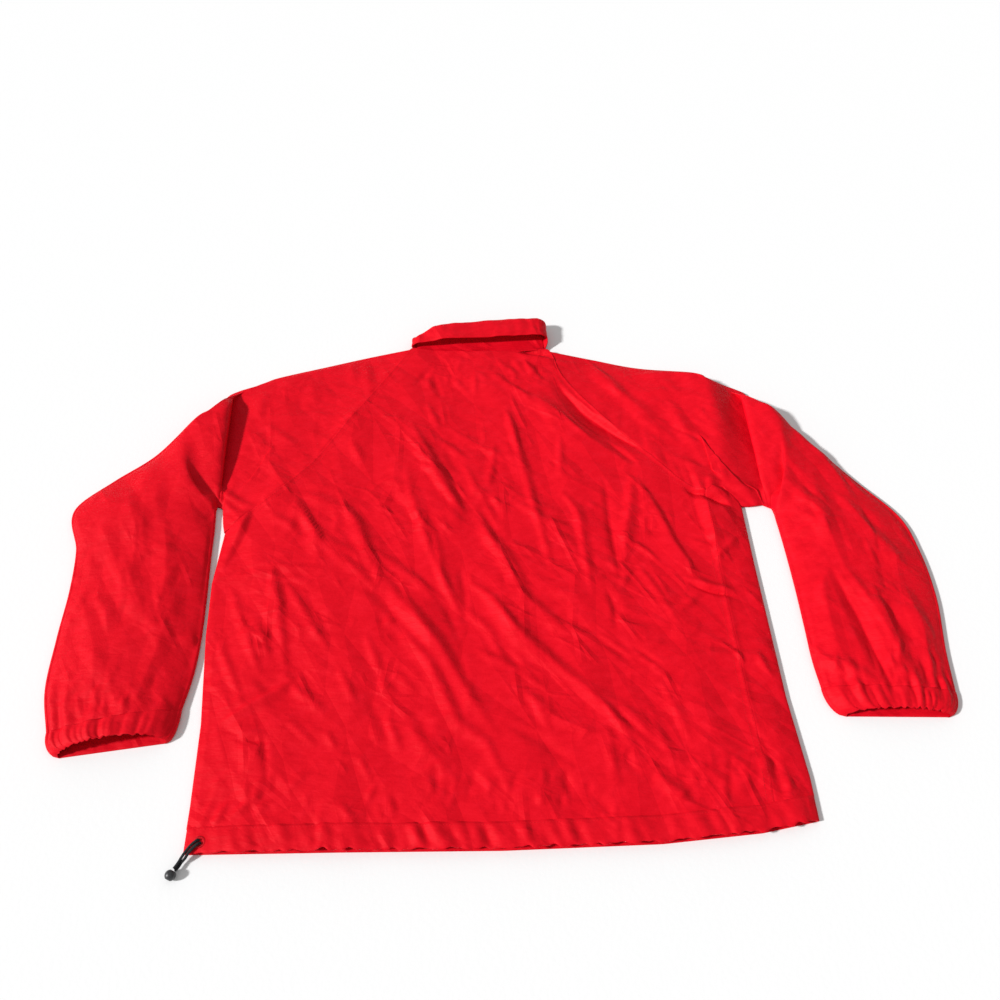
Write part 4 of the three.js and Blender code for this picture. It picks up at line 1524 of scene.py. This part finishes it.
def right_sleeve(form: Form, finishes: Finishes) -> Sleeve:
    """The right sleeve, whose cloth by the body curves down under its shoulder pleat.

    Args:
        form: The garment's form.
        finishes: Its materials.

    Returns:
        The sleeve.
    """
    creases = [
        Crease(((155, 670), (185, 628), (210, 590)), 4.0, 10, 16, 0.5),
        Crease(((205, 575), (245, 530)), 3.2, 9, 12, 0.5),
        Crease(((215, 605), (255, 604), (295, 600)), 3.2, 10, 12, 0.5),
        Crease(((255, 595), (285, 500)), 3.6, 12, 14, 0.5),
        Crease(((170, 640), (230, 560), (262, 510)), 4.0, 12, 16, 0.5),
        Crease(((215, 640), (270, 640)), 3.0, 8, 12, 0.5),
        Crease(((240, 500), (285, 470), (340, 448)), 3.6, 9, 12, 0.5),
        Crease(((252, 470), (296, 452), (350, 434)), 4.0, 12, 10, 0.6),
        Crease(((285, 470), (330, 500)), 3.0, 9, 9, 0.5),
        Crease(((376, 590), (400, 540), (395, 480)), 4.2, 14, 18, 0.4),
        Crease(((400, 560), (450, 470), (470, 400)), 4.5, 16, 20, 0.4),
        Crease(((385, 450), (420, 390), (430, 300)), 4.5, 14, 18, 0.5),
        Crease(((450, 420), (480, 350), (510, 300)), 4.5, 14, 18, 0.5),
        Crease(((390, 400), (410, 380), (440, 385)), 3.2, 9, 10, 0.5),
        # The strong valley down the lower arm.
        Crease(((413, 312), (432, 234), (446, 138)), -9.0, 12, 15, 0.6, 1.15),
        Crease(((427, 322), (452, 244), (474, 150)), 6.5, 18, 13, 0.5),
        Crease(((468, 262), (486, 203)), -4.0, 14, 12, 0.5),
        Crease(((357, 200), (398, 183), (430, 158)), 5.0, 10, 12, 0.5),
        Crease(((366, 158), (396, 156), (424, 141)), 4.0, 8, 8, 0.5),
        Crease(((400, 300), (395, 230), (400, 170)), 4.0, 12, 16, 0.5),
        Crease(((495, 290), (500, 220), (490, 160)), 4.0, 14, 14, 0.5),
        Crease(((470, 330), (495, 322), (520, 330)), 3.0, 9, 12, 0.5),
    ]
    creases += scattered(61, 50, (375, 150, 525, 560), -66, 22, (25, 100), (1.0, 2.6), (5, 18))
    creases += scattered(62, 30, (130, 480, 340, 680), -50, 26, (20, 70), (0.8, 2.4), (4, 12))
    creases += scattered(63, 30, (375, 135, 520, 180), 92, 16, (18, 50), (0.9, 2.2), (4, 8))
    return Sleeve(
        form, finishes, Side.RIGHT,
        before=(
            Section((165, 678), (338, 416), 5, 11.5, 14), Section((231, 657), (347, 417), 5, 16, 6)
        ),
        pleat_x=359, pleat_from=(300, 637, 355, 418), pleat_to=(392, 577, 366, 412),
        pleat_path=(
            (-60, 22), (-44, 24), (-8, 6.5), (6, 3.9), (11.5, 4.9), (9.5, 6.3), (3.5, 9), (0.5, 14),
            (0.8, 19),
            (5, 22), (14, 23), (30, 23),
        ),
        after=(
            Section((420, 534), (368, 404), 9, 21), Section((449, 493), (369, 390), 6, 19),
            Section((478, 449), (370, 372), 6, 19), Section((523, 384), (371, 334), 6, 18),
            Section((532, 335), (371, 290), 6, 17), Section((532, 270), (370, 240), 6, 17),
            Section((520, 195), (369, 192), 6, 17), Section((515, 148), (371, 160), 6, 17),
        ),
        mouth=Section((500, 121), (391, 127), 7, 15), mouth_back=5, creases=creases, seed=600,
        past_fold=4.0, calm=0.75, fold_drop=0.32,
    )


@dataclass
class Collar:
    """The turned-down collar: a stand round the neck and the fall that covers it at the back."""

    form: Form
    finishes: Finishes
    half_width: float = 95.0
    gap: float = 0.03
    steps: int = 260
    pinch: float = 0.28
    # Depth from the seam or lower edge (0) to the fold (1), heights behind, in front, widening.
    stand_rows: tuple[tuple[float, float, float, float], ...] = (
        (0, 10.4, 0.9, -3), (0.16, 7.5, 2.4, -3), (0.45, 7.0, 2.5, -3), (0.92, 17.6, 2.5, -3),
    )
    fall_rows: tuple[tuple[float, float, float, float], ...] = (
        (0.95, 18.0, 2.4, -3), (1.0, 20.2, 1.5, -1), (0.93, 22.8, 0.6, 1), (0.5, 24.2, 0.5, 2),
        (0, 22.5, 0.5, 3),
    )

    def line(self, depth: float, back_z: float, front_z: float, wider: float, fall: bool) -> Array:
        """A line round the neck at one depth of the collar.

        Args:
            depth: The depth, 0 to 1.
            back_z: Its height behind.
            front_z: Its height in front.
            wider: How much wider it is than the neck.
            fall: Whether it is on the fall.

        Returns:
            The points, from one side of the zip round to the other.
        """
        form = self.form
        share = np.linspace(0, 1, self.steps)
        angle = -math.pi / 2 - self.gap / 2 - share * (2 * math.pi - self.gap)
        cos, sin = np.cos(angle), np.sin(angle)
        x = 4 + (self.half_width + wider) * np.sign(cos) * np.abs(cos) ** 0.62
        lift = np.clip(0.5 + 0.9 * sin, 0, 1)
        across = np.minimum(1, lift / 0.6)
        low = form.collar_at(x, 3) if fall else form.collar_at(x, 1) - 1.0
        back = low * (1 - depth) + form.collar_at(x, 2) * depth
        start = 10 if fall else -1.0
        front = form.neck_front(x) + start * (1 - depth) + 46 * depth
        y = front * (1 - across) + back * across
        return np.column_stack([x, y, front_z * (1 - lift) + back_z * lift])

    def part(
        self, rows: Sequence[tuple[float, float, float, float]], fall: bool, seed: int
    ) -> Array:
        """One part of the collar as rows of points, softly rumpled behind.

        Args:
            rows: Its table.
            fall: Whether it is the fall.
            seed: Seed of its rumples.

        Returns:
            The rows of points.
        """
        lines = np.array([self.line(*row, fall) for row in rows])
        points, index = smooth_rows(lines, 2.2)
        x, y, z = points[..., 0], points[..., 1], points[..., 2]
        behind = smoothstep(z, 8.0, 18.0)
        rumple = (
            Ripple(seed, 45, 110, 0.3, 0.6).at(x, y)
            + 0.45 * Ripple(seed + 1, 16, 40, 0.5, 0.9).at(x, y)
        )
        pinched = 1 - self.pinch * smoothstep(-x, 35, 96) * smoothstep(z, 9.0, 14.0)
        points[..., 2] = z * pinched + behind * rumple * smoothstep(index, 0.0, 0.4)[:, None]
        return points

    def build(self) -> tuple[bpy.types.Object, bpy.types.Object]:
        """The stand and the fall."""
        points = self.part(self.stand_rows, False, 71)
        stand = surface(
            "collar_stand_cloth", points, self.finishes.nylon, (0.5, 0.04), thickness=0.9
        )
        declare(stand, Slot.NYLON, "collar_stand")
        points = self.part(self.fall_rows, True, 73)
        fall = surface(
            "collar_fall_cloth", points, self.finishes.doubled, (0.52, 0.05), thickness=1.4
        )
        declare(fall, Slot.DOUBLED, "collar_fall")
        return stand, fall


# ---- Topstitching ----


@dataclass
class Topstitching:
    """Rows of thread stitches that lie on the cloth, all in one piece."""

    form: Form
    panels: Panels
    collar: Collar
    finishes: Finishes
    length: float = 2.3
    pitch: float = 3.3
    radius: float = 0.22
    proud: float = 0.36
    bundle: int = 30

    def row(self, bm: bmesh.types.BMesh, line: Array) -> None:
        """Lays one row of stitches along a line of points.

        Args:
            bm: The mesh that the stitches go into.
            line: Points on the cloth in garment millimetres.
        """
        steps = np.linalg.norm(np.diff(line, axis=0), axis=1)
        passed = np.concatenate([[0], np.cumsum(steps)])
        starts = np.arange(0.5, passed[-1] - self.length, self.pitch)
        for first in range(0, len(starts), self.bundle):
            some = bmesh.new()
            for start in starts[first : first + self.bundle]:
                spans = (start, start + self.length)
                ends = [
                    np.array([np.interp(at, passed, line[:, k]) for k in range(3)]) for at in spans
                ]
                run = Vector(ends[1] - ends[0])
                turn = run.to_track_quat("X", "Z").to_matrix().to_4x4()
                stretch = Matrix.Diagonal((self.length / 2, self.radius, self.radius, 1.0))
                place = Matrix.Translation(Vector((ends[0] + ends[1]) / 2))
                bmesh.ops.create_uvsphere(
                    some, u_segments=6, v_segments=4, radius=1.0, matrix=place @ turn @ stretch
                )
            bundle = bpy.data.meshes.new("bundle")
            some.to_mesh(bundle)
            some.free()
            bm.from_mesh(bundle)
            bpy.data.meshes.remove(bundle)

    def on_back(self, plan: Array) -> Array:
        """Puts a line in plan on the top of the body."""
        z = self.form.back_height(plan[:, 0], plan[:, 1]) + self.proud
        return np.column_stack([plan, z])

    def beside(self, plan: Array, away: float) -> Array:
        """A line in plan moved sideways.

        Args:
            plan: The line.
            away: How far, to the right of its direction.

        Returns:
            The moved line.
        """
        run = np.gradient(plan, axis=0)
        run /= np.linalg.norm(run, axis=1, keepdims=True)
        return plan + np.stack([run[:, 1], -run[:, 0]], axis=1) * away

    def build(self) -> bpy.types.Object:
        """All the rows: raglan seams, side seam, neck seam, hem and collar edge."""
        form = self.form
        bm = bmesh.new()
        at = np.linspace(0, 1, 130)
        for side, sign in ((Side.LEFT, -1), (Side.RIGHT, 1)):
            seam = form.raglan(side, at)
            for away in (2.0, 8.0):
                plan = self.beside(seam, sign * away)
                inside = plan[:, 1] < form.collar_at(plan[:, 0], 1) - 2
                self.row(bm, self.on_back(plan[inside]))
        y = np.linspace(form.hem_seam(283) + 1, 432, 150)
        for x in (281.2, 275.2):
            self.row(bm, self.on_back(np.column_stack([form.body_x(np.full(150, x), y), y])))
        x = np.linspace(-88, 96, 90)
        self.row(bm, self.on_back(np.column_stack([x, form.collar_at(x, 1) - 2.2])))
        x = np.linspace(-314, 318, 260)
        share = np.full(260, 0.94)
        y = form.hem_edge(x) + 0.94 * form.hem_depth
        z = self.panels.casing_height(x, share) + 0.75
        self.row(bm, np.column_stack([form.body_x(x, y), y, z]))
        fall = self.collar.part(self.collar.fall_rows, True, 73)
        edge = fall[-3]
        behind = edge[:, 2] > 12
        line = edge[behind].copy()
        line[:, 2] += 0.8
        self.row(bm, line)
        bmesh.ops.scale(bm, vec=(MM, MM, MM), verts=bm.verts)
        bmesh.ops.translate(bm, vec=SHIFT, verts=bm.verts)
        for face in bm.faces:
            face.smooth = True
        mesh = bpy.data.meshes.new("topstitching")
        bm.to_mesh(mesh)
        bm.free()
        return declare(link("topstitching", mesh, self.finishes.thread), Slot.THREAD)


# ---- Hardware ----


@dataclass
class HemCord:
    """The hem cord: a stitched eyelet, two strands of elastic cord and a ball toggle."""

    form: Form
    finishes: Finishes
    diameter: float = 2.8
    ball_radius: float = 5.5
    ball: Place = (-330.2, -9.5)
    eyelet_at: Place = (-305, 21)
    eyelet_inner: float = 3.8
    eyelet_outer: float = 6.2
    routes: tuple[tuple[Point, ...], ...] = (
        (
            (-305, 23, 8.9), (-307.6, 21.6, 10.8), (-312, 18, 10.5), (-316.5, 13, 9.2),
            (-320, 8.5, 7.6),
            (-322.8, 4, 6.4), (-325, 0.2, 6.2), (-327.4, -3.4, 6.5),
        ),
        (
            (-303.2, 20, 8.9), (-305.8, 18.2, 10.8), (-310, 14.8, 10.4), (-314.2, 10.4, 9.0),
            (-317.4, 6.2, 6.6),
            (-321.3, 2.6, 4.4), (-323.6, -1.2, 3.8), (-326.4, -5.2, 4.4),
        ),
    )

    def strand(self, name: str, route: Sequence[Point]) -> tuple[bpy.types.Object, Array]:
        """One strand of cord as a closed tube along its route.

        Args:
            name: The piece's name.
            route: Points of its middle line in garment millimetres.

        Returns:
            The piece and the points that its middle follows.
        """
        path = spline(route, np.linspace(0, 1, 44))
        run = np.gradient(path, axis=0)
        run /= np.linalg.norm(run, axis=1, keepdims=True)
        flat = np.cross(run, (0, 0, 1))
        flat /= np.linalg.norm(flat, axis=1, keepdims=True)
        up = np.cross(flat, run)
        angle = np.linspace(0, 2 * math.pi, 19)
        lumps = 1 + 0.05 * np.sin(angle * 6 + np.arange(len(path))[:, None] * 1.3)
        radius = self.diameter / 2 * lumps[..., None]
        around = (
            np.cos(angle)[None, :, None] * flat[:, None]
            + np.sin(angle)[None, :, None] * up[:, None]
        )
        points = path[:, None] + around * radius
        points[:, -1] = points[:, 0]
        points = np.concatenate(
            [path[None, :1].repeat(19, 1), points, path[None, -1:].repeat(19, 1)]
        )
        piece = surface(
            name, points, self.finishes.cord, (0.0088, 0.038), closed=True, thickness=0.0
        )
        piece.modifiers.clear()
        bm = bmesh.new()
        bm.from_mesh(piece.data)
        bmesh.ops.remove_doubles(bm, verts=bm.verts, dist=1e-6)
        bmesh.ops.recalc_face_normals(bm, faces=bm.faces)
        bm.to_mesh(piece.data)
        bm.free()
        return piece, path

    def turned(
        self, name: str, profile: Sequence[Place], centre: Point, tilt: Matrix, steps: int,
        material: bpy.types.Material
    ) -> bpy.types.Object:
        """A piece spun from a closed profile about its axis.

        Args:
            name: The piece's name.
            profile: Radius and height of each corner, in millimetres.
            centre: Its place in garment millimetres.
            tilt: How it is turned from upright.
            steps: Steps round the axis.
            material: Its material.

        Returns:
            The piece.
        """
        bm = bmesh.new()
        corners = [bm.verts.new((r, 0.0, h)) for r, h in profile]
        edges = [
            bm.edges.new((corners[i], corners[(i + 1) % len(corners)])) for i in range(len(corners))
        ]
        bmesh.ops.spin(
            bm, geom=corners + edges, cent=(0, 0, 0), axis=(0, 0, 1), angle=2 * math.pi,
            steps=steps, use_merge=True,
        )
        bmesh.ops.remove_doubles(bm, verts=bm.verts, dist=0.001)
        bmesh.ops.recalc_face_normals(bm, faces=bm.faces)
        place = (
            Matrix.Translation(Vector(LAY.metres(np.array(centre)))) @ tilt @ Matrix.Scale(MM, 4)
        )
        bmesh.ops.transform(bm, matrix=place, verts=bm.verts)
        for face in bm.faces:
            face.smooth = True
        mesh = bpy.data.meshes.new(name)
        bm.to_mesh(mesh)
        bm.free()
        return link(name, mesh, material)

    def toggle(self) -> bpy.types.Object:
        """The ball toggle, bored along the cord with a rounded lip at each end of the bore."""
        bore = 2.2
        outside = [
            (self.ball_radius * math.sin(a), self.ball_radius * math.cos(a))
            for a in np.radians(np.linspace(28, 152, 22))
        ]
        top = outside[0][1]
        profile = [
            (bore, -top + 0.7), (bore, top - 0.7), (bore + 0.3, top), *outside, (bore + 0.3, -top)
        ]
        heading = Vector(
            (-0.45, -0.85, -0.10)
        ).normalized().to_track_quat("Z", "Y").to_matrix().to_4x4()
        centre = (*self.ball, self.ball_radius)
        return self.turned("toggle_ball", profile, centre, heading, 36, self.finishes.ball)

    def eyelet(self) -> bpy.types.Object:
        """The eyelet, worked in thread: a ring of close stitches round the hole."""
        bm = bmesh.new()
        x, y = self.eyelet_at
        seat = float(self.form.back_height(np.array([x]), np.array([y]))[0]) + 1.5
        middle = (self.eyelet_inner + self.eyelet_outer) / 2
        half = (self.eyelet_outer - self.eyelet_inner) / 2 + 0.25
        for angle in np.linspace(0, 2 * math.pi, 34, endpoint=False):
            spot = Vector((x + middle * math.cos(angle), y + middle * math.sin(angle), seat))
            turn = Matrix.Rotation(angle, 4, "Z")
            stretch = Matrix.Diagonal((half, 0.42, 0.42, 1.0))
            bmesh.ops.create_uvsphere(
                bm, u_segments=6, v_segments=5, radius=1.0,
                matrix=Matrix.Translation(spot) @ turn @ stretch,
            )
        bmesh.ops.scale(bm, vec=(MM, MM, MM), verts=bm.verts)
        bmesh.ops.translate(bm, vec=SHIFT, verts=bm.verts)
        for face in bm.faces:
            face.smooth = True
        mesh = bpy.data.meshes.new("eyelet_thread")
        bm.to_mesh(mesh)
        bm.free()
        return link("eyelet_thread", mesh, self.finishes.thread)

    def build(self) -> None:
        """The cords, their toggle and the eyelet."""
        ball = declare(self.toggle(), Slot.PLASTIC, "drawcord_ball")
        for letter, route in zip("ab", self.routes):
            piece, path = self.strand(f"hem_cord_{letter}", route)
            declare(piece, Slot.CORD, f"drawcord_{letter}")
        declare(self.eyelet(), Slot.THREAD, "drawcord_eyelet")


@dataclass
class Zip:
    """The short zip on the front, beneath: two woven tapes, coil, slider and ribbon pull."""

    finishes: Finishes
    middle: float = 5.0
    tape_half: float = 14.0
    tape_y: Place = (428, 622)
    tape_z: Place = (1.35, 1.95)
    coil_half: float = 2.6
    coil_y: Place = (438, 590)
    low: float = 0.15
    high: float = 1.05
    slider_y: Place = (590.3, 602)
    ribbon_y: Place = (602.3, 622)
    tooth_pitch: float = 1.4

    def block(self, bm: bmesh.types.BMesh, low: Point, high: Point, bevel: float) -> None:
        """Adds a block with rounded edges.

        Args:
            bm: The mesh that it goes into.
            low: Its lowest corner, in garment millimetres.
            high: Its highest corner.
            bevel: The width of its rounding.
        """
        size = [b - a for a, b in zip(low, high)]
        middle = [(a + b) / 2 for a, b in zip(low, high)]
        place = Matrix.Translation(Vector(middle)) @ Matrix.Diagonal((*size, 1.0))
        made = bmesh.ops.create_cube(bm, size=1.0, matrix=place)["verts"]
        edges = list({edge for vertex in made for edge in vertex.link_edges})
        bmesh.ops.bevel(
            bm, geom=edges, offset=bevel, affect="EDGES", segments=2, profile=0.5, material=-1
        )

    def piece(
        self, name: str, bm: bmesh.types.BMesh, material: bpy.types.Material
    ) -> bpy.types.Object:
        """Makes the piece from its mesh, moved to its place.

        Args:
            name: The piece's name.
            bm: Its mesh in garment millimetres.
            material: Its material.

        Returns:
            The piece.
        """
        bmesh.ops.scale(bm, vec=(MM, MM, MM), verts=bm.verts)
        bmesh.ops.translate(bm, vec=SHIFT, verts=bm.verts)
        mesh = bpy.data.meshes.new(name)
        bm.to_mesh(mesh)
        bm.free()
        return link(name, mesh, material)

    def build(self) -> None:
        """The four pieces of the zip."""
        x, half = self.middle, self.tape_half
        bm = bmesh.new()
        for a, b in ((x - half, x - 0.3), (x + 0.3, x + half)):
            self.block(
                bm, (a, self.tape_y[0], self.tape_z[0]), (b, self.tape_y[1], self.tape_z[1]), 0.15
            )
        declare(self.piece("zip_tapes", bm, self.finishes.zip), Slot.ZIP, "zip_tape")
        bm = bmesh.new()
        for k, y in enumerate(
            np.arange(self.coil_y[0] + 0.5, self.coil_y[1] - 0.6, self.tooth_pitch)
        ):
            a, b = (x - self.coil_half, x + 0.7) if k % 2 else (x - 0.7, x + self.coil_half)
            self.block(bm, (a, y, self.low), (b, y + 0.95, self.high), 0.2)
        declare(self.piece("zip_teeth", bm, self.finishes.coil), Slot.ZIP, "zip_coil")
        bm = bmesh.new()
        y0, y1 = self.slider_y
        self.block(bm, (x - 3.4, y0, self.low), (x + 3.4, y0 + 7.5, self.high), 0.3)
        self.block(bm, (x - 2.0, y0 + 6.9, self.low), (x + 2.0, y1, self.high), 0.3)
        declare(self.piece("zip_runner", bm, self.finishes.ball), Slot.PLASTIC, "zip_slider")
        bm = bmesh.new()
        y0, y1 = self.ribbon_y
        for k, (a, b) in enumerate(((-2.2, -0.8), (-0.7, 0.7), (0.8, 2.2))):
            self.block(
                bm, (x + a, y0 + 0.1 * k, self.low), (x + b, y1 - 0.1 * k, self.high - 0.1), 0.12
            )
        declare(self.piece("zip_ribbon", bm, self.finishes.thread), Slot.THREAD, "zip_pull_ribbon")


# ---- Studio ----


@dataclass
class Studio:
    """The floor, the lights and the camera."""

    finishes: Finishes
    eye: Point = (-0.0214, -0.6599, 1.0)
    across: Point = (0.9989, -0.0471, 0.0)
    up: Point = (0.0381, 0.8081, 0.5878)
    ahead: Point = (0.0277, 0.5871, -0.8090)
    lens: float = 34.56
    sensor: float = 36.0
    floor_half: float = 4.0
    sky: float = 0.47
    sun: float = 4.1
    sun_from: Point = (-0.80, -0.16, 0.57)
    sun_spread: float = 0.10

    def camera(self) -> None:
        """The camera."""
        data = bpy.data.cameras.new("camera")
        data.sensor_width, data.lens = self.sensor, self.lens
        data.clip_end = 50.0
        eye = bpy.data.objects.new("camera", data)
        columns = [Vector(self.across), Vector(self.up), -Vector(self.ahead)]
        turn = Matrix((columns[0], columns[1], columns[2])).transposed().to_4x4()
        eye.matrix_world = Matrix.Translation(Vector(self.eye)) @ turn
        bpy.context.scene.collection.objects.link(eye)
        bpy.context.scene.camera = eye

    def floor(self) -> None:
        """The floor, a plain sheet of paper."""
        bm = bmesh.new()
        bmesh.ops.create_grid(bm, x_segments=8, y_segments=8, size=self.floor_half)
        mesh = bpy.data.meshes.new("floor")
        bm.to_mesh(mesh)
        bm.free()
        link("floor", mesh, self.finishes.paper)

    def lights(self) -> None:
        """A soft sky all round and a key light low on the left."""
        world = bpy.data.worlds.new("sky")
        world.use_nodes = True
        background = world.node_tree.nodes["Background"]
        background.inputs["Color"].default_value = (1.0, 1.0, 1.0, 1.0)
        background.inputs["Strength"].default_value = self.sky
        bpy.context.scene.world = world
        data = bpy.data.lights.new("key", "SUN")
        data.energy, data.angle = self.sun, self.sun_spread
        key = bpy.data.objects.new("key", data)
        key.rotation_euler = Vector(self.sun_from).to_track_quat("Z", "Y").to_euler()
        bpy.context.scene.collection.objects.link(key)
        bpy.context.scene.view_settings.view_transform = "Standard"


def main() -> None:
    """Builds the studio and the garment, piece by piece."""
    logging.basicConfig(level=logging.INFO, format="%(name)s: %(message)s")
    finishes = Finishes()
    studio = Studio(finishes)
    studio.camera()
    form = Form(creases=body_creases())
    HemCord(form, finishes).build()
    panels = Panels(form, finishes)
    front, back = panels.front(), panels.back()
    casing = panels.casing()
    for sleeve in (left_sleeve(form, finishes), right_sleeve(form, finishes)):
        arm, cuff = sleeve.sleeve(), sleeve.cuff()
    collar = Collar(form, finishes)
    stand, fall = collar.build()
    Zip(finishes).build()
    Topstitching(form, panels, collar, finishes).build()
    studio.floor()
    studio.lights()


if __name__ == "__main__":
    main()
